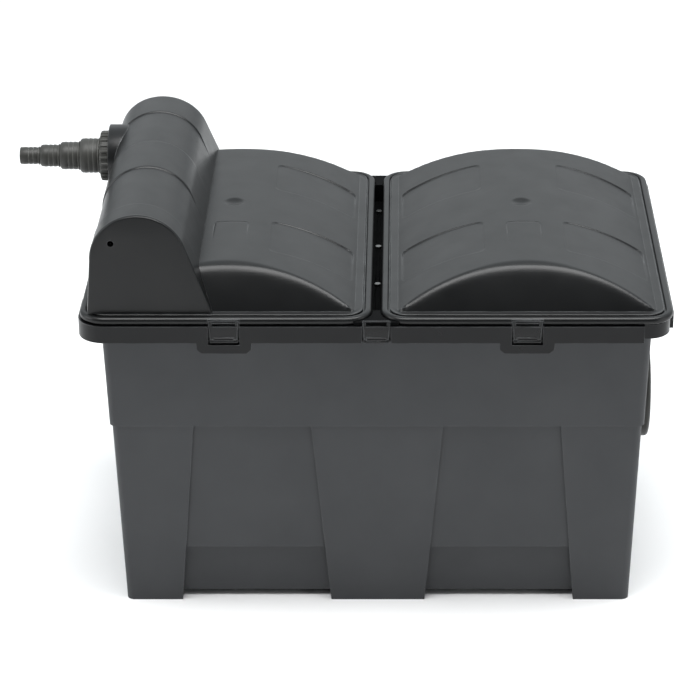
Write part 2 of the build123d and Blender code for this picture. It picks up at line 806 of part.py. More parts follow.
with BuildPart() as union_nut:
    with BuildSketch(inlet_axis(boss_face - 0.3)):
        Circle(34.5)
        with PolarLocations(34.2, 24):
            Rectangle(3.4, 4.4)
        Circle(stub_radius + 0.3, mode=Mode.SUBTRACT)
    extrude(amount=9.7)
    with BuildSketch(inlet_axis(boss_face - 10)):
        Circle(35)
        Circle(25.4, mode=Mode.SUBTRACT)
    extrude(amount=3.7)
finish(union_nut, "union_nut")

# Outlet bulkhead: seal, flange with pipe socket, nut inside the wall, strainer
seal_thick = 2.5
flange_radius = 74.0
with BuildPart() as outlet_seal:
    with BuildSketch(outlet_axis(pad_outer)):
        Circle(flange_radius - 1)
        Circle(outlet_thread + 1, mode=Mode.SUBTRACT)
    extrude(amount=seal_thick)
finish(outlet_seal, "outlet_seal")

with BuildPart() as outlet_flange:
    with BuildSketch(outlet_axis(pad_outer + seal_thick)):
        Circle(flange_radius)
    extrude(amount=outlet_face - pad_outer - seal_thick)
    fillet(outlet_flange.edges().sort_by(Axis.X)[-1], radius=5)
    with BuildSketch(outlet_axis(spigot_end)):
        Circle(outlet_thread)
    extrude(amount=pad_outer + seal_thick - spigot_end)
    with BuildSketch(outlet_axis(spigot_end - 5)):
        Circle(outlet_bore)
    extrude(amount=70, mode=Mode.SUBTRACT)
finish(outlet_flange, "outlet_flange")

with BuildPart() as outlet_nut:
    with BuildSketch(outlet_axis(pad_inner - 14)):
        RegularPolygon(76, 12)
        Circle(outlet_thread + 0.3, mode=Mode.SUBTRACT)
    extrude(amount=14)
finish(outlet_nut, "outlet_nut")

with BuildPart() as outlet_strainer:
    with BuildSketch(outlet_axis(strainer_end)):
        Circle(outlet_thread)
    extrude(amount=spigot_end - strainer_end)
    with BuildSketch(outlet_axis(strainer_end + 3)):
        Circle(outlet_thread - 3)
    extrude(amount=spigot_end, mode=Mode.SUBTRACT)
    with BuildSketch(Plane.XZ.offset(-80)):
        with Locations((278, outlet_z)):
            with GridLocations(0, 11, 1, 7):
                RectangleRounded(72, 5, 2)
    extrude(amount=160, mode=Mode.SUBTRACT)
finish(outlet_strainer, "outlet_strainer")

# Drain bulkhead with a slide gate
with BuildPart() as drain_seal:
    with BuildSketch(drain_axis(drain_pad)):
        RectangleRounded(96, 78, 5)
        Circle(drain_thread + 0.9, mode=Mode.SUBTRACT)
    extrude(amount=2)
finish(drain_seal, "drain_seal")

gate_slot = drain_pad + 16
gate_width = 60.0
gate_thick = 4.2
with BuildPart() as drain_valve:
    with BuildSketch(drain_axis(drain_pad + 2)):
        RectangleRounded(100, 82, 6)
    extrude(amount=8)
    with BuildSketch(drain_axis(drain_pad + 2)):
        with Locations((0, 4)):
            RectangleRounded(78, 74, 5)
    extrude(amount=26)
    with BuildSketch(drain_axis(drain_pad + 28)):
        Circle(drain_pipe)
    extrude(amount=42)
    with BuildSketch(drain_axis(drain_pad - 28)):
        Circle(drain_thread)
    extrude(amount=31)
    with BuildSketch(drain_axis(drain_pad - 40)):
        Circle(drain_bore)
    extrude(amount=140, mode=Mode.SUBTRACT)
    with Locations((drain_x, gate_slot, drain_z + 12)):
        Box(gate_width + 0.8, gate_thick + 0.8, 84, mode=Mode.SUBTRACT)
finish(drain_valve, "drain_valve")

with BuildPart() as drain_nut:
    with BuildSketch(drain_axis(drain_pad - 16)):
        RegularPolygon(40, 8)
        Circle(drain_thread + 0.3, mode=Mode.SUBTRACT)
    extrude(amount=-10)
finish(drain_nut, "drain_nut")

with BuildPart() as drain_gate:
    with Locations((drain_x, gate_slot, drain_z + 10)):
        Box(gate_width, gate_thick, 78)
    with Locations((drain_x, gate_slot, drain_z + 56)):
        Box(20, gate_thick, 20)
    with Locations((drain_x, gate_slot, drain_z + 70)):
        Box(58, 14, 10)
    fillet(drain_gate.edges().group_by(Axis.Z)[-1], radius=3)
finish(drain_gate, "drain_gate")
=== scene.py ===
# Pond filter box: the looks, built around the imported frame. Shapes are worked out in millimetres.
import json
from math import acos, atan2, cos, hypot, pi, radians, sin, sqrt

import bmesh
import bpy
from mathutils import Matrix, Vector, noise


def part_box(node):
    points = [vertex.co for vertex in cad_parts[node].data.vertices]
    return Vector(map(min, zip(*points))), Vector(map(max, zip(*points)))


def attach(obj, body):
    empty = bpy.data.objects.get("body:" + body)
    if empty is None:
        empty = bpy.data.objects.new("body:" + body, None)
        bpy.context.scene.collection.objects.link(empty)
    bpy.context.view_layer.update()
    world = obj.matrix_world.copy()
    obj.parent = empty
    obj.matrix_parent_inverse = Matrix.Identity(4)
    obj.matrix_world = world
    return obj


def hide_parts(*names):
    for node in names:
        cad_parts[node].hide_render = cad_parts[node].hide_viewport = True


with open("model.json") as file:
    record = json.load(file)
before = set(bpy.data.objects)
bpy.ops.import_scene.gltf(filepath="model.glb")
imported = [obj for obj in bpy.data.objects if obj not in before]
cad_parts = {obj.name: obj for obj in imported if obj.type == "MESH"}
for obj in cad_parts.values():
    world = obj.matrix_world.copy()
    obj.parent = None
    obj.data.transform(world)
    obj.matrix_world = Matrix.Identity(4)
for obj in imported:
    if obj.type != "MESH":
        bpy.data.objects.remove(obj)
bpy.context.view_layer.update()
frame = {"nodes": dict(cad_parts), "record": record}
print("frame loaded:", len(frame["nodes"]), "nodes")

mm = 0.001


def placed(name, data):
    item = bpy.data.objects.new(name, data)
    bpy.context.collection.objects.link(item)
    return item


# camera and lights

viewpoint = {
    "place": (0.038, -3.691, 2.005),
    "pitch": 65,              # from straight down, so 25 degrees below level
    "lens": 147.3,
    "shiftX": -0.0819,
}
camera = placed("camera", bpy.data.cameras.new("camera"))
camera.location = viewpoint["place"]
camera.rotation_euler = (radians(viewpoint["pitch"]), 0, 0)
camera.data.lens = viewpoint["lens"]
camera.data.shift_x = viewpoint["shiftX"]
bpy.context.scene.camera = camera
bpy.context.scene.view_settings.view_transform = "Standard"


def softbox(name, place, target, size, power):
    light = bpy.data.lights.new(name, "AREA")
    light.shape = "RECTANGLE"
    light.size = size[0]
    light.size_y = size[1]
    light.energy = power
    lamp = placed(name, light)
    lamp.location = place
    lamp.rotation_euler = (Vector(target) - Vector(place)).to_track_quat("-Z", "Y").to_euler()
    lamp.visible_camera = False


studio = {
    # place, target, size and power
    "overhead": ((0.2, -0.5, 3.5), (0, 0, 0.2), (3.8, 1.8), 185),
    "backWall": ((0.2, 4.6, 2.1), (0, 0.3, 0.5), (6.5, 2.6), 14),
    "leftSide": ((-3.6, -0.6, 1.7), (0, 0, 0.4), (2.2, 2.2), 48),
    "rightSide": ((3.8, -1.6, 1.2), (0.3, 0, 0.2), (2.4, 2.0), 30),
}
for name, lamp in studio.items():
    softbox(name, *lamp)


skyPlan = {
    # from and to along each direction, and the strength at both ends
    "ramps": {"Y": (-0.75, 0.45, 0.08, 0.93), "Z": (0.0, 0.42, 0.5, 1.0)},
    "tint": (0.91, 0.97, 1.0, 1),
}


def studioWorld():
    # bright towards the hinge side and overhead, dim above the front
    world = bpy.data.worlds.new("studio")
    world.use_nodes = True
    tree = world.node_tree
    direction = tree.nodes.new("ShaderNodeTexCoord")
    parts = tree.nodes.new("ShaderNodeSeparateXYZ")
    tree.links.new(direction.outputs["Generated"], parts.inputs[0])
    ramps = []
    for axis, values in skyPlan["ramps"].items():
        ramp = tree.nodes.new("ShaderNodeMapRange")
        ramp.interpolation_type = "SMOOTHSTEP"
        for socket, value in zip(("From Min", "From Max", "To Min", "To Max"), values):
            ramp.inputs[socket].default_value = value
        tree.links.new(parts.outputs[axis], ramp.inputs["Value"])
        ramps.append(ramp)
    both = tree.nodes.new("ShaderNodeMath")
    both.operation = "MULTIPLY"
    tree.links.new(ramps[0].outputs["Result"], both.inputs[0])
    tree.links.new(ramps[1].outputs["Result"], both.inputs[1])
    background = tree.nodes["Background"]
    background.inputs["Color"].default_value = skyPlan["tint"]
    tree.links.new(both.outputs[0], background.inputs["Strength"])
    return world


bpy.context.scene.world = studioWorld()
print("studio ready")


# mesh helpers

def meshObject(name, points, faces, angle=30):
    mesh = bpy.data.meshes.new(name)
    mesh.from_pydata([Vector(p) * mm for p in points], [], faces)
    mesh.validate()
    tidy = bmesh.new()
    tidy.from_mesh(mesh)
    bmesh.ops.recalc_face_normals(tidy, faces=tidy.faces)
    tidy.to_mesh(mesh)
    tidy.free()
    piece = placed(name, mesh)
    smooth(piece, angle)
    return piece


def smooth(piece, angle=30):
    piece.data.shade_smooth()
    piece.data.set_sharp_from_angle(angle=radians(angle))


def settle(piece, angle=30):
    # puts the result of the modifiers into the mesh
    shape = piece.evaluated_get(bpy.context.evaluated_depsgraph_get())
    made = bpy.data.meshes.new_from_object(shape)
    piece.modifiers.clear()
    piece.data = made
    smooth(piece, angle)
    return piece


def boolean(piece, tool, operation="DIFFERENCE", angle=30):
    step = piece.modifiers.new("cut", "BOOLEAN")
    step.object = tool
    step.operation = operation
    step.solver = "EXACT"
    settle(piece, angle)
    bpy.data.objects.remove(tool)
    return piece


def joined(piece, *others):
    # adds closed shells to the same piece
    whole = bmesh.new()
    for part in (piece, *others):
        whole.from_mesh(part.data)
    whole.to_mesh(piece.data)
    whole.free()
    for part in others:
        bpy.data.objects.remove(part)
    smooth(piece)
    return piece


def block(name, low, high):
    (x0, y0, z0), (x1, y1, z1) = low, high
    corners = [(x, y, z) for x in (x0, x1) for y in (y0, y1) for z in (z0, z1)]
    sides = [(0, 1, 3, 2), (4, 6, 7, 5), (0, 4, 5, 1), (2, 3, 7, 6), (0, 2, 6, 4), (1, 5, 7, 3)]
    return meshObject(name, corners, sides)


def turned(name, profile, centre, steps=96, wobble=None):
    # turns a closed profile of (along, radius) points about an axis along X through centre
    middleY, middleZ = centre[1:]
    points, faces = [], []
    count = len(profile)
    for k in range(steps):
        angle = 2 * pi * k / steps
        for along, radius in profile:
            reach = radius + (wobble(along, radius, angle) if wobble else 0)
            points.append((along, middleY + reach * cos(angle), middleZ + reach * sin(angle)))
    for k in range(steps):
        here, there = k * count, ((k + 1) % steps) * count
        for j in range(count):
            after = (j + 1) % count
            faces.append((here + j, here + after, there + after, there + j))
    return meshObject(name, points, faces)


def arcPoints(centre, radius, start, end, steps):
    turns = [radians(start + (end - start) * k / steps) for k in range(steps + 1)]
    return [(centre[0] + radius * cos(a), centre[1] + radius * sin(a)) for a in turns]


def spread(low, high, step, marks=(), reach=1.1, extra=()):
    # even lines from low to high, with five close ones at each mark and single ones at extra
    clear, closest = reach * 1.3, 0.05
    count = max(2, round((high - low) / step))
    lines = [low + (high - low) * k / count for k in range(count + 1)]
    close = [m + reach * k / 2 for m in marks for k in range(-2, 3)] + list(extra)
    close = [c for c in close if low < c < high]
    lines = [v for v in lines
             if v in (low, high) or all(abs(v - m) > clear for m in (*marks, *extra))]
    merged = sorted(lines + close)
    kept = [merged[0]]
    for v in merged[1:]:
        if v - kept[-1] > closest:
            kept.append(v)
    return kept


def blendStep(low, high, value):
    t = min(1.0, max(0.0, (value - low) / (high - low)))
    return t * t * (3 - 2 * t)


def roundedGap(u, v, centre, half, corner):
    # signed distance to a rounded rectangle, negative inside
    qx = abs(u - centre[0]) - half[0] + corner
    qy = abs(v - centre[1]) - half[1] + corner
    return hypot(max(qx, 0), max(qy, 0)) + min(max(qx, qy), 0) - corner


# lids

lidLow, lidHigh = (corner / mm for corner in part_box("right_lid"))
lidPlan = {
    "half": (lidHigh.x - lidLow.x) / 2,
    "centre": (lidHigh.x + lidLow.x) / 2,
    "halfDepth": -lidLow.y,
    "corner": 35.0,
    "under": 441.9,
    "top": 451.5,
    "ledge": 22.5,            # bead, groove and ledge together
    "rise": 55.0,
    "gableRun": (36.0, 26.5),  # front and rear
    "crestSlope": 0.9,        # how steeply the gable would go on above its fold
    "shell": 3.6,
    "thinnest": 1.2,
    "soften": (10.0, 9.0),    # how far the folds above the front and rear gables are rounded
    "softFrom": 14,           # height above which that rounding is in full
    "swell": 1.2,             # above 1 the gables are fuller than a plane
    "grid": 3.0,
    "cornerSteps": 8,
    "dimpleSteps": 7,
    "bands": ((-156.0, -53.0), (67.0, 162.0)),
    "bandInner": 55.0,
    "bandOuter": 166.5,
    "bandCorner": 9.0,
    "bandDepth": ((0.75, -0.35), (0.9, 1.3)),  # at the inner end, and its change to the outer
    "dimple": (7.0, 13.5, 3.0),  # place along Y, radius, depth
    "plate": (23.0, -138.0, -65.0, 0.55),  # half width, front, rear, depth of its outline
    "plateCorner": 6,
    "plateFade": (5, 15),
    "window": (-353.0, -243.0, -140.0, 180.0),
    "notch": (21.0, 2.5, 7.6),   # half width, depth and height of the cut for the latch
    "pocket": (5, 7.5, 5.6),     # margin inside the notch, depth and height
    "rib": (4, 0.7),             # margin inside the notch, half height
    "catch": 444.4,
    "knuckles": (80.0, 320.0),
    "knuckleHalf": 9,
    "hinge": (279.0, 437.0),
    "eye": (6.0, 2.6),           # outer and inner radius
    "arm": ((258, 442.6), (262, 447), (270, 447)),
    "armFoot": (271, 442.6),
}
domeHalf = lidPlan["half"] - lidPlan["ledge"]
gableFoot = lidPlan["halfDepth"] - lidPlan["ledge"]


def domeHeight(u, y, inset=0.0):
    # height above the ledge at u from the lid's middle line
    half = domeHalf - inset
    radius = (half ** 2 + lidPlan["rise"] ** 2) / (2 * lidPlan["rise"])
    if abs(u) >= half or abs(y) >= gableFoot - inset:
        return 0.0
    arch = sqrt(radius ** 2 - u * u) - radius + lidPlan["rise"]
    run = lidPlan["gableRun"][0 if y < 0 else 1]
    up = min(1.0, (gableFoot - inset - abs(y)) / run)
    gable = lidPlan["rise"] * (1 - (1 - up) ** lidPlan["swell"])
    if up >= 1.0:
        gable += (gableFoot - inset - abs(y) - run) * lidPlan["crestSlope"]
    low = min(arch, gable)
    ease = lidPlan["soften"][0 if y < 0 else 1] * min(1.0, low / lidPlan["softFrom"])
    near = max(0.0, 1 - abs(arch - gable) / ease) if ease > 0 else 0.0
    return low - near * near * ease / 4


def lidRelief(u, y, sides):
    # depth of the sunk bands, the dimple and the outlined plate
    depth = 0.0
    inner, outer = lidPlan["bandInner"], lidPlan["bandOuter"]
    along = min(1.0, max(0.0, (abs(u) - inner) / (outer - inner)))
    atFront, atRear = (start + change * along for start, change in lidPlan["bandDepth"])
    for front, rear in lidPlan["bands"]:
        for side in sides:
            gap = roundedGap(u, y, (side * (inner + outer) / 2, (front + rear) / 2),
                             ((outer - inner) / 2, (rear - front) / 2), lidPlan["bandCorner"])
            across = (y - front) / (rear - front)
            full = atFront * (1 - across) + atRear * across
            depth = max(depth, full * blendStep(1.1, -1.1, gap))
    place, radius, sunk = lidPlan["dimple"]
    depth = max(depth, sunk * max(0.0, 1 - (hypot(u, y - place) / radius) ** 2))
    half, front, rear, fine = lidPlan["plate"]
    edge = abs(roundedGap(u, y, (0, (front + rear) / 2), (half, (rear - front) / 2),
                          lidPlan["plateCorner"]))
    fadeFront, fadeRear = lidPlan["plateFade"]
    fade = blendStep(front + fadeFront, rear - fadeRear, y)
    return max(depth, fine * fade * blendStep(1.0, 0.1, edge))


def lidProfile():
    # (inset, height) from under the ledge, round the bead and the groove, to the dome's foot
    under, top = lidPlan["under"], lidPlan["top"]
    ledgeUnder = top - lidPlan["shell"]
    rim = [(15, ledgeUnder), (15, under)]
    rim += arcPoints((3.0, under + 3), 3.0, -90, -180, 4)
    rim += arcPoints((5.0, top - 5), 5.0, 180, 90, 7)
    rim += arcPoints((6.6, top - 3), 3.0, 90, 10, 5)
    rim += [(9.7, top - 3.3), (10.1, top - 3.7), (11.3, top - 3.7), (11.7, top - 3.3)]
    rim += [(11.9, top - 0.7), (12.0, top), (12.4, top + 0.3), (13.0, top + 0.35),
            (13.7, top + 0.2), (14.4, top)]
    return rim


def lidRing(inset, z, centre, us, ys):
    # one turn round the lid, with the same count of points on each straight as the dome's grid
    straightU = lidPlan["half"] - lidPlan["corner"]
    straightY = lidPlan["halfDepth"] - lidPlan["corner"]
    halfU, halfY = lidPlan["half"] - inset, lidPlan["halfDepth"] - inset
    radius = lidPlan["corner"] - inset
    turn = []
    alongU = [u * straightU / domeHalf for u in us]
    alongY = [y * straightY / gableFoot for y in ys]
    sides = ([(u, -halfY) for u in alongU], [(halfU, y) for y in alongY],
             [(u, halfY) for u in reversed(alongU)], [(-halfU, y) for y in reversed(alongY)])
    for quarter, straight in enumerate(sides):
        turn += straight
        cornerU = straightU * (1 if quarter in (0, 1) else -1)
        cornerY = straightY * (1 if quarter in (1, 2) else -1)
        bend = arcPoints((cornerU, cornerY), radius, quarter * 90 - 90, quarter * 90,
                          lidPlan["cornerSteps"])
        turn += bend[1:-1]
    return [(centre + u, y, z) for u, y in turn]


def buildLid(name, centre, latchX, window, sides):
    inner, outer = lidPlan["bandInner"], lidPlan["bandOuter"]
    plate = lidPlan["plate"]
    marksU = [s * v for s in (-1, 1) for v in (inner, outer, plate[0])]
    marksY = [v for band in lidPlan["bands"] for v in band] + [plate[2]]
    dimpleY, dimpleRadius = lidPlan["dimple"][:2]
    rings = lidPlan["dimpleSteps"]
    fine = [dimpleRadius * k / rings for k in range(-rings, rings + 1)]
    foldFront, foldRear = (gableFoot - run for run in lidPlan["gableRun"])
    if window:
        marksU += [window[0] - centre, window[1] - centre]
        marksY += [window[2], window[3]]
    us = spread(-domeHalf, domeHalf, lidPlan["grid"], marksU, extra=fine)
    ys = spread(-gableFoot, gableFoot, lidPlan["grid"], marksY + [-foldFront, foldRear],
                extra=[dimpleY + v for v in fine])
    nu, ny = len(us), len(ys)
    points, faces = [], []
    for layer in ("top", "under"):
        for y in ys:
            for u in us:
                if layer == "top":
                    z = lidPlan["top"] + domeHeight(u, y) - lidRelief(u, y, sides)
                    z = max(z, lidPlan["top"])
                else:
                    z = lidPlan["top"] - lidPlan["shell"] + domeHeight(u, y, lidPlan["shell"])
                    above = lidPlan["top"] + domeHeight(u, y) - lidRelief(u, y, sides)
                    z = min(z, above - lidPlan["thinnest"])
                points.append((centre + u, y, z))
    under = nu * ny

    def inWindow(i, j):
        if not window:
            return False
        x, y = centre + (us[i] + us[i + 1]) / 2, (ys[j] + ys[j + 1]) / 2
        return window[0] < x < window[1] and window[2] < y < window[3]

    for j in range(ny - 1):
        for i in range(nu - 1):
            if inWindow(i, j):
                continue
            a = j * nu + i
            faces.append((a, a + 1, a + nu + 1, a + nu))
            faces.append((under + a, under + a + nu, under + a + nu + 1, under + a + 1))
            if window:
                for di, dj, edge in ((-1, 0, (a, a + nu)), (1, 0, (a + 1, a + nu + 1)),
                                     (0, -1, (a, a + 1)), (0, 1, (a + nu, a + nu + 1))):
                    if 0 <= i + di < nu - 1 and 0 <= j + dj < ny - 1 and inWindow(i + di, j + dj):
                        faces.append((edge[0], edge[1], under + edge[1], under + edge[0]))

    border = list(range(nu))
    border += [j * nu + nu - 1 for j in range(ny)]
    border += [(ny - 1) * nu + i for i in reversed(range(nu))]
    border += [j * nu for j in reversed(range(ny))]
    arcs = lidPlan["cornerSteps"] - 1
    foot = []
    spot = 0
    for length in (nu, ny, nu, ny):
        foot += border[spot:spot + length] + [border[spot + length - 1]] * arcs
        spot += length
    rings = [[under + v for v in foot]]
    for inset, z in lidProfile():
        start = len(points)
        points += lidRing(inset, z, centre, us, ys)
        rings.append(list(range(start, len(points))))
    rings.append(foot)
    for inside, outside in zip(rings, rings[1:]):
        total = len(inside)
        for k in range(total):
            n = (k + 1) % total
            quad = list(dict.fromkeys((inside[k], inside[n], outside[n], outside[k])))
            if len(quad) > 2:
                faces.append(quad)
    lid = meshObject(name, points, faces, 28)

    # a notch and a pocket for the latch, and the rib it catches on
    edge, base = -lidPlan["halfDepth"], lidPlan["under"]
    notch, reach, height = lidPlan["notch"]
    for margin, depth, up in ((0, reach, height), lidPlan["pocket"]):
        cutter = block("cutter", (latchX - notch + margin, edge - reach, base - 1),
                       (latchX + notch - margin, edge + depth, base + up))
        boolean(lid, cutter, angle=28)
    catchZ = lidPlan["catch"]
    margin, thick = lidPlan["rib"]
    rib = block("rib", (latchX - notch + margin, edge + 4, catchZ - thick),
                (latchX + notch - margin, edge - 0.1, catchZ + thick))
    side = 1 if centre > 0 else -1
    eyes = [knuckle(side * x) for x in lidPlan["knuckles"]]
    joined(lid, rib, *eyes)
    smooth(lid, 28)
    return lid


def knuckle(x):
    # an arm off the lid's rear edge that ends in an eye round the hinge pin
    pinY, pinZ = lidPlan["hinge"]
    radius, bore = lidPlan["eye"]
    half = lidPlan["knuckleHalf"]
    outer = [*lidPlan["arm"], *arcPoints((pinY, pinZ), radius, 62, -170, 26), lidPlan["armFoot"]]
    hole = arcPoints((pinY, pinZ), bore, 62, -298, 28)[:-1]
    return plateFromOutlines("eye", outer, [hole], x - half, x + half)


acrossX = ((0, 0, 1), (1, 0, 0), (0, 1, 0))  # outline in the YZ plane
acrossY = ((1, 0, 0), (0, 0, 1), (0, 1, 0))  # outline in the XZ plane


def plateFromOutlines(name, outer, holes, x0, x1, rounding=0.5, turn=acrossX):
    # a filled outline, drawn out from x0 to x1 across its plane, with softened edges
    curve = bpy.data.curves.new(name, "CURVE")
    curve.dimensions = "2D"
    curve.fill_mode = "BOTH"
    for loop in (outer, *holes):
        spline = curve.splines.new("POLY")
        spline.points.add(len(loop) - 1)
        for spot, (a, b) in zip(spline.points, loop):
            spot.co = (a * mm, b * mm, 0, 1)
        spline.use_cyclic_u = True
    curve.extrude = (x1 - x0) / 2 * mm - rounding * mm
    curve.bevel_depth = rounding * mm
    curve.bevel_resolution = 1
    curve.offset = -rounding * mm
    holder = placed(name, curve)
    shape = holder.evaluated_get(bpy.context.evaluated_depsgraph_get())
    made = bpy.data.meshes.new_from_object(shape)
    bpy.data.objects.remove(holder)
    upright = Matrix(turn).to_4x4()
    upright.translation = Vector([row[2] * (x0 + x1) / 2 * mm for row in turn])
    made.transform(upright)
    piece = placed(name, made)
    weld = bmesh.new()
    weld.from_mesh(made)
    bmesh.ops.remove_doubles(weld, verts=weld.verts, dist=0.01 * mm)
    bmesh.ops.recalc_face_normals(weld, faces=weld.faces)
    weld.to_mesh(made)
    weld.free()
    smooth(piece)
    return piece


latchPlaces = (-202.0, 0.0, 200.0)
rightLid = buildLid("right_lid_shell", lidPlan["centre"], latchPlaces[2], None, (-1, 1))
leftLid = buildLid("left_lid_shell", -lidPlan["centre"], latchPlaces[0], lidPlan["window"], (1,))
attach(rightLid, "right_lid")
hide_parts("right_lid")
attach(leftLid, "left_lid")
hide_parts("left_lid")
print("lids done:", len(rightLid.data.polygons), "and", len(leftLid.data.polygons), "faces")


# snap latches
latchPlan = {
    "widths": (40.6, 37.5, 40.6),
    "corner": 1.6,
    "taper": 2.0,
    "foot": 419.4,
    "top": 449.5,
    "back": -268.4,
    "face": -270.7,
    "window": (4.6, 441.4, 447.3),   # side margin, bottom and top
    "bars": ((0.7, 447.7, 449.3), (3.4, 439.6, 440.9)),
    "grip": (13.5, 422.6, -269.6, 2.6),
    "axis": (-268.2, 419.2),
    "barrel": (3.0, 1.45),
}


def buildLatch(name, x, width):
    half, taper = width / 2, latchPlan["taper"]
    foot, top = latchPlan["foot"], latchPlan["top"]
    outer = [(x - half + taper, foot), (x + half - taper, foot)]
    corner = latchPlan["corner"]
    outer += arcPoints((x + half - corner, top - corner), corner, 0, 90, 5)
    outer += arcPoints((x - half + corner, top - corner), corner, 90, 180, 5)
    margin, low, high = latchPlan["window"]
    side = half - margin
    window = [(x - side + 0.4, low), (x - side, high), (x + side, high), (x + side - 0.4, low)]
    face = latchPlan["face"]
    latch = plateFromOutlines(name, outer, [window], latchPlan["back"], face, 0.35, acrossY)
    extras = []
    for inset, z0, z1 in latchPlan["bars"]:
        reach = half - inset
        bar = [(x - reach, z0), (x + reach, z0), (x + reach, z1), (x - reach, z1)]
        extras.append(plateFromOutlines("bar", bar, [], face + 0.4, face - 0.6, 0.3, acrossY))
    for way in (-1, 1):
        sides = ((0.5, top - 2.2), (2.1, top - 2.2),
                 (taper + 2.0, foot + 3), (taper + 0.5, foot + 3))
        post = [(x + way * (half - margin), z) for margin, z in sides]
        extras.append(plateFromOutlines("post", post, [], face + 0.4, face - 0.4, 0.25, acrossY))
    reach, z, y, radius = latchPlan["grip"]
    roll = [(x - reach, radius - 0.8), (x - reach + 0.8, radius), (x + reach - 0.8, radius),
            (x + reach, radius - 0.8), (x + reach, 0.3), (x - reach, 0.3)]
    extras.append(turned("roll", roll, (0, y, z), 40))
    radius, pin = latchPlan["barrel"]
    reach = half - taper
    sleeve = [(x - reach, pin), (x - reach, radius - 0.3), (x - reach + 0.3, radius),
              (x + reach - 0.3, radius), (x + reach, radius - 0.3), (x + reach, pin)]
    extras.append(turned("sleeve", sleeve, (0, *latchPlan["axis"]), 40))
    return joined(latch, *extras)


latches = {}
latchNodes = ("left_latch", "centre_latch", "right_latch")
for node, x, width in zip(latchNodes, latchPlaces, latchPlan["widths"]):
    latches[node] = buildLatch(node + "_clip", x, width)
    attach(latches[node], node)
    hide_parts(node)
print("latches done")


# inlet hood

hoodPlan = {
    "front": -254.0,
    "rear": 207.0,
    "rearFoot": 245.0,
    "left": -383.0,
    "right": -217.5,
    "roundX": -313.0,
    "roundZ": 527.1,
    "round": 64.0,
    "foot": 451.9,
    "wall": 3.5,
    "edge": 2.2,              # rounding of the front and rear edges
    "bead": (0.6, 3.6),       # height and width of the bead round the front edge
    "bands": ((-207.0, -75.0), (26.0, 142.0)),
    "bandDepth": 1.5,
    "inletY": 134.0,
    "inletZ": 526.5,
    "boss": (45.0, -385.0, -350.0),
    "stub": (30.0, -391.5),
    "bore": 24.3,
    "vent": (-348.0, 552.5, 4.3),
    "curveSteps": (22, 60, 30),  # left side, crown and right flank
    "bandFade": (-262, -238),    # where the bands run out on the flank
    "fineEnd": -209,             # stations stand close from the front edge to here
    "pitch": (2.2, 5.0),
    "pivot": 160.0,              # behind this the rear face leans
    "clearance": 0.4,
    "highest": 540.0,
    "thread": (1.5, 0.5, 3),     # pitch, depth and turns
}


def hoodCurve(inset, contact):
    # left foot, round crown and right flank down to the height of contact
    radius = hoodPlan["round"] - inset
    cx, cz = hoodPlan["roundX"], hoodPlan["roundZ"]
    footX = hoodPlan["right"] - inset * 1.2
    leanX, leanZ = footX - cx, lidPlan["top"] - cz
    touch = atan2(leanZ, leanX) + acos(radius / hypot(leanX, leanZ))
    touchX, touchZ = cx + radius * cos(touch), cz + radius * sin(touch)
    left = hoodPlan["left"] + inset
    foot = hoodPlan["foot"]
    path = []
    leftSteps, crownSteps, flankSteps = hoodPlan["curveSteps"]
    for k in range(leftSteps):
        t = k / leftSteps
        path.append((left + (cx - radius - left) * t, foot + (cz - foot) * t))
    for k in range(crownSteps):
        angle = pi + (touch - pi) * k / crownSteps
        path.append((cx + radius * cos(angle), cz + radius * sin(angle)))
    for k in range(flankSteps + 1):
        t = k / flankSteps
        z = touchZ + (contact - touchZ) * t
        path.append((touchX + (footX - touchX) * (touchZ - z) / (touchZ - lidPlan["top"]), z))
    return path


def hoodContact(y, inset):
    # height where the right flank stands just clear of the lid
    low, high = hoodPlan["foot"], hoodPlan["highest"]
    for _ in range(30):
        middle = (low + high) / 2
        x = hoodCurve(inset, middle)[-1][0]
        surface = lidPlan["top"] + domeHeight(x + lidPlan["centre"], y) + hoodPlan["clearance"]
        if middle < surface:
            low = middle
        else:
            high = middle
    return high


def bandSink(y, x):
    # depth of the recessed bands
    sunk = 0.0
    for front, rear in hoodPlan["bands"]:
        sunk = max(sunk, blendStep(-1.0, 1.0, min(y - front, rear - y)))
    flank = 1 - blendStep(*hoodPlan["bandFade"], x)
    return hoodPlan["bandDepth"] * sunk * flank


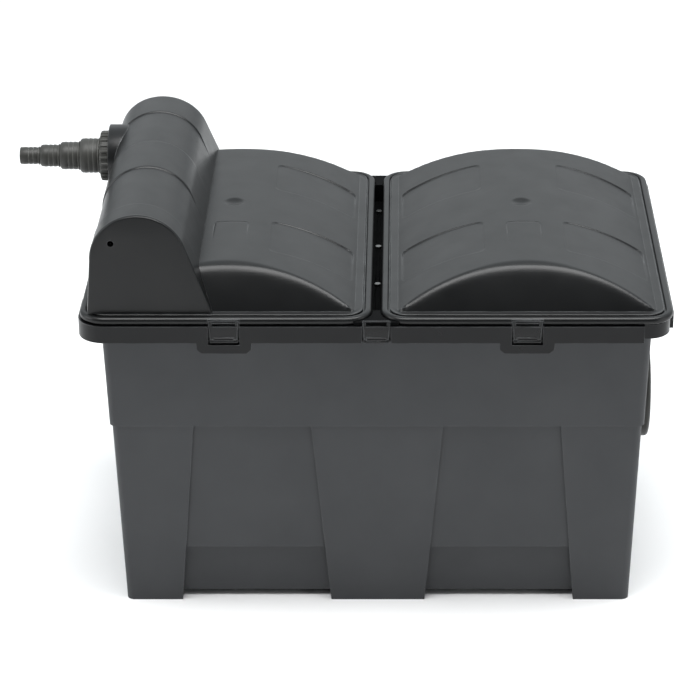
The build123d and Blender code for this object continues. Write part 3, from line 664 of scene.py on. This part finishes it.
def sweepHood(name, inset, front, rear, edge, drop, banded):
    # a closed solid swept along Y; drop lowers its underside so that it can cut right through
    bend = [v for band in hoodPlan["bands"] for v in band]
    stations = [(front + edge * (1 - sin(radians(v))), inset + edge * (1 - cos(radians(v))))
                for v in (90, 67, 45, 22)]
    rise, wide = hoodPlan["bead"] if banded else (0.0, 3.6)
    stations += [(front + edge + wide * k / 6, inset - rise * sin(pi * k / 6)) for k in range(6)]
    fineEnd, (close, usual) = hoodPlan["fineEnd"], hoodPlan["pitch"]
    stations += [(y, inset) for y in spread(front + edge + wide, fineEnd, close)]
    stations += [(y, inset) for y in spread(fineEnd, rear - edge, usual, bend, 1.0)[1:]]
    stations += [(rear - edge * (1 - sin(radians(v))), inset + edge * (1 - cos(radians(v))))
                 for v in (22, 45, 67, 90)]
    crown = hoodPlan["roundZ"] + hoodPlan["round"]
    lean = (hoodPlan["rearFoot"] - hoodPlan["rear"]) / (crown - lidPlan["top"])
    pivot = hoodPlan["pivot"]
    points, faces = [], []
    for y, depth in stations:

        def placeAlong(z):
            foot = rear + (crown - z) * lean
            return y if y < pivot else pivot + (y - pivot) * (foot - pivot) / (rear - pivot)

        guess = 480.0
        for _ in range(4):
            guess = hoodContact(placeAlong(guess), depth)
        for x, z in hoodCurve(depth, guess - drop):
            along = placeAlong(z)
            sink = bandSink(along, x) if banded else 0.0
            away = Vector((x - hoodPlan["roundX"], max(0.0, z - hoodPlan["roundZ"])))
            away = away.normalized() * sink
            lowered = drop if z < hoodPlan["foot"] + 0.01 else 0.0
            points.append((x - away.x, along, z - away.y - lowered))
    across = len(points) // len(stations)
    for s in range(len(stations) - 1):
        for k in range(across):
            n = (k + 1) % across
            a, b = s * across, (s + 1) * across
            faces.append((a + k, a + n, b + n, b + k))
    faces.append(tuple(range(across)))
    last = (len(stations) - 1) * across
    faces.append(tuple(reversed(range(last, last + across))))
    return meshObject(name, points, faces, 35)


def buildHood():
    front, rear, wall = hoodPlan["front"], hoodPlan["rear"], hoodPlan["wall"]
    hood = sweepHood("inlet_hood_shell", 0.0, front, rear, hoodPlan["edge"], 0.0, True)
    hollow = sweepHood("hollow", wall, front + wall, rear - wall, 1.0, 8.0, False)
    boolean(hood, hollow, angle=35)
    radius, face, back = hoodPlan["boss"]
    stub, stubEnd = hoodPlan["stub"]
    bore, axis = hoodPlan["bore"], (0, hoodPlan["inletY"], hoodPlan["inletZ"])
    cup = [(back, radius), (face + 1.2, radius), (face + 0.4, radius - 0.4), (face, radius - 1.2),
           (face, stub + 0.6), (face - 0.6, stub)]
    pitch, groove, turns = hoodPlan["thread"]
    for turn in range(turns):
        start = face - 1.6 - turn * pitch
        cup += [(start, stub), (start - 0.4, stub - groove), (start - 0.8, stub)]
    cup += [(stubEnd, stub - 0.4), (stubEnd, bore), (face + wall, bore),
            (face + wall, radius - wall), (back, radius - wall)]
    boss = turned("boss", cup, axis, 96)

    def rod(name, start, end, hollow, reach, centre, steps):
        # a cutter along X, with a thin hole down its middle
        profile = [(start, hollow), (start, reach), (end, reach), (end, hollow)]
        return turned(name, profile, centre, steps)

    boolean(hood, rod("well", -395, -340, 1, radius - 3.4, axis, 96), angle=35)
    ventX, ventZ, ventRadius = hoodPlan["vent"]
    drill = rod("drill", -10, 20, 0.3, ventRadius, (0, 0, 0), 40)
    drill.data.transform(Matrix.Rotation(radians(90), 4, "Z"))
    drill.data.transform(Matrix.Translation(Vector((ventX, front, ventZ)) * mm))
    boolean(hood, drill, angle=35)
    joined(hood, boss)
    smooth(hood, 35)
    return hood


inletHood = buildHood()
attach(inletHood, "inlet_hood")
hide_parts("inlet_hood")
print("hood done:", len(inletHood.data.polygons), "faces")


# hose tail and union nut

tailPlan = {
    "start": -398.7,
    "radii": (25.0, 20.0, 16.0, 12.5),
    "step": 28.9,
    "bore": 9.5,
    "neck": 24.5,
    "flange": (-393.0, -394.7, 29.0),  # inner face, outer face and radius
    "rib": 0.75,
    "socket": (-424, -427, 21.0),      # end of the wide bore, start of the narrow one, radius
}
nutPlan = {
    "ribs": 24,
    "high": 36.0,             # over the ribs
    "low": 33.8,              # between the ribs
    "ribEnds": (-397.7, -386),
    "flank": (0.1, 0.75),
}


def buildTail():
    # outside of the tail from the flange to the tip, then back along the bore
    flangeBack, flangeFace, flangeRadius = tailPlan["flange"]
    begin, length, bore = tailPlan["start"], tailPlan["step"], tailPlan["bore"]
    outside = [(flangeBack, flangeRadius), (flangeFace, flangeRadius),
               (flangeFace, tailPlan["neck"]), (begin, tailPlan["neck"])]
    for index, radius in enumerate(tailPlan["radii"]):
        big = begin - index * length
        small = big - length
        if index:
            outside += [(big - 0.1, radius - 1.4), (big - 1.0, radius - 1.4)]
        outside += [(big - 1.1, radius + 0.4), (big - 1.4, radius + 0.7), (big - 2.1, radius + 0.7),
                    (big - 2.4, radius + 0.4), (big - 2.5, radius - 0.9), (big - 3.2, radius - 0.9)]
        pitch = (length - 9.5) / 3
        for turn in range(3):
            start = big - 3.4 - turn * pitch
            outside += [(start, radius - tailPlan["rib"]), (start - pitch * 0.45, radius - 0.25),
                        (start - pitch * 0.78, radius), (start - pitch * 0.92, radius - 0.1)]
        shoulder = [(small + 2.6, radius - 0.5), (small + 1.4, radius - 1.3),
                    (small + 0.5, radius - 2.4), (small + 0.1, radius - 3.4)]
        if index < len(tailPlan["radii"]) - 1:
            outside += shoulder
    tip = begin - 4 * length
    last = tailPlan["radii"][3]
    outside += [(tip + 1.4, last - 0.3), (tip + 0.4, last - 0.8), (tip, last - 1.6)]
    wideEnd, narrowStart, wide = tailPlan["socket"]
    inside = [(tip, bore + 0.6), (tip + 0.8, bore), (narrowStart, bore), (wideEnd, wide),
              (flangeBack, wide)]
    axis = (0, hoodPlan["inletY"], hoodPlan["inletZ"])
    return turned("hose_tail_steps", outside + inside, axis, 120)


def buildNut():
    ribs, high, low = nutPlan["ribs"], nutPlan["high"], nutPlan["low"]
    ribOuter, ribInner = nutPlan["ribEnds"]
    outside = [(-385.4, 33.6), (-386.2, low), (-388, low), (-391, low), (-394, low),
               (-396, low - 0.4), (-397.6, low - 1.6), (-398.5, low - 3.4), (-398.6, 26.4),
               (-398.0, 25.5)]
    inside = [(-395.2, 25.5), (-395.1, 30.4), (-385.4, 30.4)]

    def ribHeight(along, radius, angle):
        if radius < low - 2 or along > ribInner or along < ribOuter:
            return 0.0
        return (high - low) * blendStep(*nutPlan["flank"], cos(angle * ribs))

    axis = (0, hoodPlan["inletY"], hoodPlan["inletZ"])
    return turned("union_nut_ring", outside + inside, axis, ribs * 12, ribHeight)


hoseTail = buildTail()
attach(hoseTail, "inlet_hood")
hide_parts("hose_tail")
unionNut = buildNut()
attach(unionNut, "union_nut")
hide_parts("union_nut")
print("hose tail and nut done")


# foams

def foamBlock(name, node, look):
    # a soft-edged block with an open-cell skin, cut by the holder's two rods
    low, high = (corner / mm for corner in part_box(node))
    middle, half = (low + high) / 2, (high - low) / 2
    half -= Vector((look["shy"],) * 3)
    shape = bmesh.new()
    counts = [max(3, round(2 * half[k] / look["grid"])) for k in range(3)]
    for axis in range(3):
        a, b = (axis + 1) % 3, (axis + 2) % 3
        for side in (-1, 1):
            rows = []
            for i in range(counts[a] + 1):
                row = []
                for j in range(counts[b] + 1):
                    spot = Vector((0, 0, 0))
                    spot[axis] = side * half[axis]
                    spot[a] = half[a] * (2 * i / counts[a] - 1)
                    spot[b] = half[b] * (2 * j / counts[b] - 1)
                    row.append(shape.verts.new(spot))
                rows.append(row)
            for i in range(counts[a]):
                for j in range(counts[b]):
                    near, far = rows[i], rows[i + 1]
                    shape.faces.new((near[j], far[j], far[j + 1], near[j + 1]))
    bmesh.ops.remove_doubles(shape, verts=shape.verts, dist=0.01)
    bmesh.ops.recalc_face_normals(shape, faces=shape.faces)
    for spot in shape.verts:
        inner = Vector([max(-half[k] + look["corner"], min(half[k] - look["corner"], spot.co[k]))
                        for k in range(3)])
        away = spot.co - inner
        if away.length > 0:
            spot.co = inner + away.normalized() * look["corner"]
        at = spot.co + middle
        pore = noise.noise(at * look["poreScale"]) * look["pore"]
        pore += noise.noise(at * look["sagScale"]) * look["sag"]
        spot.co += away.normalized() * pore if away.length > 0 else Vector((0, 0, 0))
    for spot in shape.verts:
        spot.co = (spot.co + middle) * mm
    mesh = bpy.data.meshes.new(name)
    shape.to_mesh(mesh)
    shape.free()
    piece = placed(name, mesh)
    around = 24
    for y in look["rods"]:
        ring = arcPoints((0, 0), look["rodHole"], 0, 360, around)[:-1]
        column = [(middle.x + a, y + b, z) for z in (low.z - 5, high.z + 5) for a, b in ring]
        sides = [(k, (k + 1) % around, around + (k + 1) % around, around + k)
                 for k in range(around)]
        sides += [tuple(range(around)), tuple(range(around, 2 * around))]
        boolean(piece, meshObject("rod", column, sides), angle=60)
    smooth(piece, 60)
    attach(piece, "filter_box")
    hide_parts(node)
    return piece


everyFoam = {"shy": 0.8, "sagScale": 0.02, "rods": (-110, 110), "rodHole": 6.5, "fill": 0.9}
fineFoam = {**everyFoam, "corner": 4.0, "pore": 0.6, "poreScale": 0.5}
coarseFoam = {**everyFoam, "grid": 5.0, "corner": 5.0, "sag": 1.0}
foamLooks = {
    "foam_block_1": {**coarseFoam, "pore": 1.1, "poreScale": 0.33},
    "foam_block_2": {**coarseFoam, "pore": 1.0, "poreScale": 0.36},
    "foam_block_3": {**fineFoam, "grid": 5.0, "sag": 0.8},
    "foam_mat": {**fineFoam, "grid": 6.0, "sag": 1.2, "rods": (), "fill": 0.85},
}
foams = {node: foamBlock(node + "_sponge", node, look) for node, look in foamLooks.items()}
print("foams done")


# screen belt

beltPlan = {
    "rollers": (-330.0, -150.0, 395.0),
    "radius": 18.85,
    "width": (-195.0, 155.0),
    "pitch": 5.2,
    "wire": 0.45,
    "weave": 0.22,
    "hem": 5.0,
    "hemHalf": 0.6,           # half its thickness
    "hemSteps": 96,
    "strandGap": 2,           # from the belt's edge to the first strand
    "endGap": 1.2,            # from the belt's edge to the cross wires' ends
}


def beltPath(distance):
    # a point of the loop and its outward direction, for a distance along it
    left, right, height = beltPlan["rollers"]
    radius = beltPlan["radius"]
    span, bend = right - left, pi * radius
    d = distance % (2 * (span + bend))
    if d < span:
        return Vector((left + d, 0, height + radius)), Vector((0, 0, 1))
    if d < span + bend:
        a = pi / 2 - (d - span) / radius
        out = Vector((cos(a), 0, sin(a)))
        return Vector((right, 0, height)) + out * radius, out
    if d < 2 * span + bend:
        return Vector((right - (d - span - bend), 0, height - radius)), Vector((0, 0, -1))
    a = -pi / 2 - (d - 2 * span - bend) / radius
    out = Vector((cos(a), 0, sin(a)))
    return Vector((left, 0, height)) + out * radius, out


def buildBelt():
    points, faces = [], []
    left, right, height = beltPlan["rollers"]
    loop = 2 * (right - left + pi * beltPlan["radius"])
    front, rear = beltPlan["width"]
    turns = 2 * round(loop / beltPlan["pitch"] / 2)
    across = 2 * round((rear - front) / beltPlan["pitch"] / 2)
    wire, weave, gap = beltPlan["wire"], beltPlan["weave"], beltPlan["strandGap"]

    def walls(start, count, closed):
        # four sides between each section of four points and the next
        for k in range(count if closed else count - 1):
            here, there = start + 4 * k, start + 4 * ((k + 1) % count)
            for c in range(4):
                d = (c + 1) % 4
                faces.append((here + c, here + d, there + d, there + c))

    def strand(centres, closed):
        start, count = len(points), len(centres)
        for here, out, side in centres:
            for a, b in ((1, 0), (0, 1), (-1, 0), (0, -1)):
                points.append(here + out * (a * wire) + side * (b * wire))
        walls(start, count, closed)
        if not closed:
            for end in (start, start + 4 * (count - 1)):
                faces.append((end, end + 1, end + 2, end + 3))

    def placeAcross(j):
        return front + gap + (rear - front - 2 * gap) * j / across

    def lifted(here, y, out, j, k):
        # over at one crossing and under at the next
        return Vector((here.x, y, here.z)) + out * (weave * (1 if (j + k) % 2 else -1))

    for j in range(across + 1):
        y = placeAcross(j)
        centres = []
        for k in range(turns):
            here, out = beltPath(loop * k / turns)
            centres.append((lifted(here, y, out, j, k), out, Vector((0, 1, 0))))
        strand(centres, True)
    for k in range(turns):
        here, out = beltPath(loop * (k + 0.5) / turns)
        along = Vector((out.z, 0, -out.x))
        first, last = front + beltPlan["endGap"], rear - beltPlan["endGap"]
        centres = [(Vector((here.x, first, here.z)), out, along)]
        centres += [(lifted(here, placeAcross(j + 0.5), out, j, k), out, along)
                    for j in range(across)]
        centres.append((Vector((here.x, last, here.z)), out, along))
        strand(centres, False)
    half, steps = beltPlan["hemHalf"], beltPlan["hemSteps"]
    for y0, y1 in ((front, front + beltPlan["hem"]), (rear - beltPlan["hem"], rear)):
        start = len(points)
        for k in range(steps):
            here, out = beltPath(loop * k / steps)
            for rise, y in ((-half, y0), (half, y0), (half, y1), (-half, y1)):
                points.append(Vector((here.x, y, here.z)) + out * rise)
        walls(start, steps, True)
    return meshObject("screen_belt_weave", points, faces, 60)


screenBelt = buildBelt()
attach(screenBelt, "filter_box")
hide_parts("screen_belt")
print("screen belt done:", len(screenBelt.data.polygons), "faces")


# moulded plastics: each look is a colour pair, a roughness pair, grain, and a lighter edge colour
# that is partly wear and partly painted highlight
looks = {
    "tub_plastic": {
        "dark": (0.027, 0.029, 0.032), "light": (0.031, 0.033, 0.036), "rough": (0.50, 0.60),
        "wearAndHighlight": (0.10, 0.103, 0.108), "grain": 900, "bump": 0.16, "gloss": 1.46, "dust": 0.03},
    "rim_plastic": {
        "dark": (0.0042, 0.0044, 0.0049), "light": (0.0056, 0.0058, 0.0064), "rough": (0.27, 0.36),
        "wearAndHighlight": (0.11, 0.115, 0.12), "grain": 1100, "bump": 0.10, "gloss": 1.31, "dust": 0.02},
    "lid_plastic": {
        "dark": (0.0050, 0.0053, 0.0056), "light": (0.0064, 0.0068, 0.0071), "rough": (0.29, 0.36),
        "wearAndHighlight": (0.13, 0.137, 0.14), "grain": 1100, "bump": 0.13, "gloss": 1.37, "dust": 0.02,
        "edgeReach": 0.0018},
    "latch_plastic": {
        "dark": (0.0045, 0.0046, 0.005), "light": (0.0065, 0.0066, 0.0072), "rough": (0.24, 0.34),
        "wearAndHighlight": (0.11, 0.115, 0.12), "grain": 1200, "bump": 0.08, "gloss": 1.33, "dust": 0.02},
    "fitting_plastic": {
        "dark": (0.026, 0.0262, 0.024), "light": (0.038, 0.0382, 0.035), "rough": (0.40, 0.52),
        "wearAndHighlight": (0.17, 0.17, 0.16), "grain": 800, "bump": 0.14, "gloss": 1.37, "dust": 0.03},
    "insert_plastic": {
        "dark": (0.020, 0.021, 0.022), "light": (0.031, 0.032, 0.034), "rough": (0.42, 0.55),
        "wearAndHighlight": (0.07,) * 3, "grain": 900, "bump": 0.12, "gloss": 1.37, "dust": 0.03},
    "pull_plastic": {
        "dark": (0.34, 0.055, 0.022), "light": (0.42, 0.075, 0.030), "rough": (0.36, 0.48),
        "wearAndHighlight": (0.6, 0.22, 0.13), "grain": 1000, "bump": 0.10, "gloss": 1.37, "dust": 0.03},
    "motor_plastic": {
        "dark": (0.012, 0.013, 0.015), "light": (0.018, 0.019, 0.022), "rough": (0.38, 0.5),
        "wearAndHighlight": (0.06,) * 3, "grain": 1000, "bump": 0.12, "gloss": 1.37, "dust": 0.03},
}
# the centre beam lies deep in the gap between the lids: this very dark, rough plastic is painted
# shade
beamPaintedShade = {
    "dark": (0.0022, 0.0023, 0.0025), "light": (0.0030, 0.0031, 0.0033), "rough": (0.62, 0.75),
    "wearAndHighlight": (0.02,) * 3, "grain": 1100, "bump": 0.1, "gloss": 1.12, "dust": 0.01}
skinPlan = {
    "cloud": 7.0,             # sizes of the noise patches
    "edgePatchSize": 45,
    "dustPatch": 18,
    "roughPatch": 24,
    "flow": (30, 30, 4),      # stretched along the height
    "dustColour": (0.075, 0.083, 0.086),
    "edgeReach": 0.0012,
}


class Wiring:
    # short hands for adding and joining nodes
    def __init__(self, name):
        self.material = bpy.data.materials.new(name)
        self.material.use_nodes = True
        self.tree = self.material.node_tree
        self.shader = self.tree.nodes["Principled BSDF"]
        self.place = self.tree.nodes.new("ShaderNodeTexCoord").outputs["Object"]

    def add(self, kind, **values):
        node = self.tree.nodes.new("ShaderNode" + kind)
        for key, value in values.items():
            if hasattr(node, key):
                setattr(node, key, value)
            else:
                node.inputs[key].default_value = value
        return node

    def link(self, start, end):
        self.tree.links.new(start, end)

    def feed(self, socket, source):
        self.link(source, self.shader.inputs[socket])

    def noise(self, scale, detail=3.0, rough=0.55, stretch=None):
        cloud = self.add("TexNoise", Scale=scale, Detail=detail, Roughness=rough)
        source = self.place
        if stretch:
            turn = self.add("Mapping")
            turn.inputs["Scale"].default_value = stretch
            self.link(source, turn.inputs["Vector"])
            source = turn.outputs["Vector"]
        self.link(source, cloud.inputs["Vector"])
        return cloud.outputs["Fac"]

    def span(self, source, fromLow, fromHigh, low, high):
        step = self.add("MapRange")
        ends = {"From Min": fromLow, "From Max": fromHigh, "To Min": low, "To Max": high}
        for socket, value in ends.items():
            step.inputs[socket].default_value = value
        self.link(source, step.inputs["Value"])
        return step.outputs["Result"]

    def mix(self, amount, first, second):
        blend = self.add("Mix", data_type="RGBA")
        self.link(amount, blend.inputs["Factor"])
        for socket, value in ((blend.inputs[6], first), (blend.inputs[7], second)):
            if isinstance(value, tuple):
                socket.default_value = (*value, 1)
            else:
                self.link(value, socket)
        return blend.outputs[2]

    def combine(self, first, second, how="ADD"):
        step = self.add("Math", operation=how)
        for socket, value in ((step.inputs[0], first), (step.inputs[1], second)):
            if isinstance(value, (int, float)):
                socket.default_value = value
            else:
                self.link(value, socket)
        return step.outputs[0]

    def bump(self, height, strength, distance, before=None):
        step = self.add("Bump", Strength=strength, Distance=distance)
        self.link(height, step.inputs["Height"])
        if before:
            self.link(before, step.inputs["Normal"])
        return step.outputs["Normal"]


def mouldedPlastic(name, look):
    wires = Wiring(name)
    cloud = wires.noise(skinPlan["cloud"], 4.0)
    flow = wires.noise(1.0, 3.0, 0.6, skinPlan["flow"])
    grain = wires.noise(look["grain"], 2.0)
    colour = wires.mix(wires.span(cloud, 0.35, 0.65, 0, 1), look["dark"], look["light"])
    speck = wires.span(grain, 0.62, 0.78, 0, 0.35)
    colour = wires.mix(speck, colour, tuple(1.5 * c for c in look["light"]))
    geometry = wires.add("NewGeometry")
    reach = look.get("edgeReach", skinPlan["edgeReach"])
    # edges found by the bevel node are lightened: partly wear, partly a painted highlight along
    # edges, beads and grooves
    rounded = wires.add("Bevel", samples=4, Radius=reach)
    turn = wires.add("VectorMath", operation="DOT_PRODUCT")
    wires.link(rounded.outputs["Normal"], turn.inputs[0])
    wires.link(geometry.outputs["Normal"], turn.inputs[1])
    edge = wires.span(turn.outputs["Value"], 0.99, 0.86, 0, 1)
    edgePatchiness = wires.span(wires.noise(skinPlan["edgePatchSize"], 4.0), 0.36, 0.64, 0.3, 0.95)
    edgeWearAndHighlight = wires.combine(edge, edgePatchiness, "MULTIPLY")
    colour = wires.mix(edgeWearAndHighlight, colour, look["wearAndHighlight"])
    upward = wires.add("SeparateXYZ")
    wires.link(geometry.outputs["Normal"], upward.inputs[0])
    facing = wires.span(upward.outputs["Z"], 0.45, 1.0, 0, look["dust"])
    settled = wires.span(wires.noise(skinPlan["dustPatch"], 5.0, 0.62), 0.35, 0.7, 0.2, 1)
    dust = wires.combine(facing, settled, "MULTIPLY")
    colour = wires.mix(dust, colour, skinPlan["dustColour"])
    wires.feed("Base Color", colour)
    low, high = look["rough"]
    streaks = wires.combine(flow, 0.35, "MULTIPLY")
    worn = wires.combine(wires.noise(skinPlan["roughPatch"], 4.0), streaks)
    wires.feed("Roughness", wires.span(worn, 0.42, 0.95, low, high))
    skin = wires.bump(grain, look["bump"], 0.0003)
    skin = wires.bump(flow, 0.05, 0.0012, skin)
    wires.feed("Normal", skin)
    wires.shader.inputs["IOR"].default_value = look["gloss"]
    return wires.material


def brushedSteel(name, dark, light):
    wires = Wiring(name)
    lines = wires.noise(1.0, 5.0, 0.7, (60, 1500, 1500))
    cloud = wires.noise(60, 3.0)
    colour = wires.mix(wires.span(cloud, 0.35, 0.7, 0, 1), dark, light)
    wires.feed("Base Color", colour)
    wires.shader.inputs["Metallic"].default_value = 1.0
    wires.feed("Roughness", wires.span(lines, 0.3, 0.7, 0.22, 0.42))
    wires.feed("Normal", wires.bump(lines, 0.15, 0.0002))
    return wires.material


def cloudyFinish(name, look):
    # rubber and woven wire: a patchy colour and roughness with a fine grain
    wires = Wiring(name)
    cloud, grain = wires.noise(look["cloud"], 4.0), wires.noise(look["grain"], 3.0)
    colour = wires.mix(wires.span(cloud, 0.35, 0.65, 0, 1), look["dark"], look["light"])
    wires.feed("Base Color", colour)
    wires.feed("Roughness", wires.span(cloud, 0.3, 0.7, *look["rough"]))
    wires.feed("Normal", wires.bump(grain, *look["bump"]))
    wires.shader.inputs["Metallic"].default_value = look["metal"]
    return wires.material


def openCellFoam(name, dark, light, cells):
    wires = Wiring(name)
    pores = wires.add("TexVoronoi", Scale=cells)
    wires.link(wires.place, pores.inputs["Vector"])
    deep = wires.span(pores.outputs["Distance"], 0.12, 0.6, 0, 1)
    stain = wires.span(wires.noise(9, 4.0), 0.35, 0.7, 0, 0.4)
    # the pores are coloured darker than the foam around them: painted shade inside the cells
    colour = wires.mix(deep, tuple(0.35 * c for c in dark), light)
    colour = wires.mix(stain, colour, dark)
    wires.feed("Base Color", colour)
    wires.feed("Roughness", wires.span(deep, 0, 1, 0.98, 0.86))
    wires.feed("Normal", wires.bump(deep, 0.8, 0.0012))
    return wires.material


finishes = {slot: mouldedPlastic(slot + "_finish", look) for slot, look in looks.items()}
finishes["stainless"] = brushedSteel("stainless_finish", (0.50, 0.50, 0.49), (0.66, 0.66, 0.65))
finishes["seal_rubber"] = cloudyFinish("seal_rubber_finish", {
    "cloud": 30, "grain": 700, "dark": (0.010,) * 3, "light": (0.020, 0.020, 0.019),
    "rough": (0.62, 0.8), "bump": (0.25, 0.0003), "metal": 0.0})
finishes["screen_mesh"] = cloudyFinish("screen_mesh_finish", {
    "cloud": 40, "grain": 900, "dark": (0.30, 0.31, 0.30), "light": (0.46, 0.47, 0.45),
    "rough": (0.34, 0.5), "bump": (0.15, 0.0002), "metal": 0.5})
finishes["foam_coarse"] = openCellFoam("foam_coarse_finish", (0.020, 0.030, 0.045),
                                       (0.05, 0.085, 0.13), 260)
finishes["foam_fine"] = openCellFoam("foam_fine_finish", (0.03,) * 3,
                                     (0.09, 0.09, 0.085), 480)
ownFinishes = {
    # the beam's screws sit in the gap between the lids: their darker steel is painted shade
    "beam_screws": brushedSteel("screw_painted_shade_finish", (0.20,) * 3, (0.32, 0.32, 0.31)),
    "latch_pins": brushedSteel("blackened_pin_finish", (0.012,) * 3, (0.03,) * 3),
    # painted shade on the beam in the gap
    "centre_beam": mouldedPlastic("beam_painted_shade_finish", beamPaintedShade),
}


slotOf = {entry["node"]: entry["material_slot"] for entry in frame["record"]["subparts"]}


def dress(piece, slot):
    if not piece.data.materials:
        piece.data.materials.append(finishes[slot])
    for index in range(len(piece.data.materials)):
        piece.data.materials[index] = finishes[slot]
    for face in piece.data.polygons:
        face.material_index = 0


newPieces = {
    rightLid: "lid_plastic", leftLid: "lid_plastic", inletHood: "lid_plastic",
    hoseTail: "fitting_plastic", unionNut: "fitting_plastic", screenBelt: "screen_mesh",
    foams["foam_block_1"]: "foam_coarse", foams["foam_block_2"]: "foam_coarse",
    foams["foam_block_3"]: "foam_fine", foams["foam_mat"]: "foam_fine",
    **{piece: "latch_plastic" for piece in latches.values()},
}
for piece, slot in newPieces.items():
    dress(piece, slot)

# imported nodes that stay: rounding width by node, and the angle above which an edge is rounded
softEdges = {"tub": 0.9, "gear_motor": 0.8, "rim_collar": 0.6, "centre_beam": 0.5,
             "media_tray": 0.4}
usualEdge, edgeAngle, weldReach = 0.3, 38, 0.01
replaced = {"right_lid", "left_lid", "inlet_hood", "hose_tail", "union_nut", "screen_belt",
            *foamLooks, *latches}
for node, piece in frame["nodes"].items():
    if node in replaced:
        continue
    for index in range(len(piece.data.materials)):
        piece.data.materials[index] = ownFinishes.get(node) or finishes[slotOf[node]]
    weld = piece.modifiers.new("weld", "WELD")
    weld.merge_threshold = weldReach * mm
    soften = piece.modifiers.new("soften", "BEVEL")
    soften.width = softEdges.get(node, usualEdge) * mm
    soften.segments = 2
    soften.limit_method = "ANGLE"
    soften.angle_limit = radians(edgeAngle)
    soften.use_clamp_overlap = True
    even = piece.modifiers.new("even", "WEIGHTED_NORMAL")
    even.keep_sharp = False
print("finishes done")


# floor

floorReach = 30
floorMesh = bpy.data.meshes.new("floor")
ways = ((-1, -1), (1, -1), (1, 1), (-1, 1))
floorMesh.from_pydata([(floorReach * a, floorReach * b, 0) for a, b in ways], [], [(0, 1, 2, 3)])
floor = placed("floor", floorMesh)
floorPaint = Wiring("floor_paint")
floorPatches = floorPaint.noise(2.0, 3.0)
floorPaint.feed("Base Color", floorPaint.mix(floorPatches, (0.93,) * 3, (0.95,) * 3))
floorPaint.shader.inputs["Roughness"].default_value = 0.85
floorMesh.materials.append(floorPaint.material)
print("floor done")
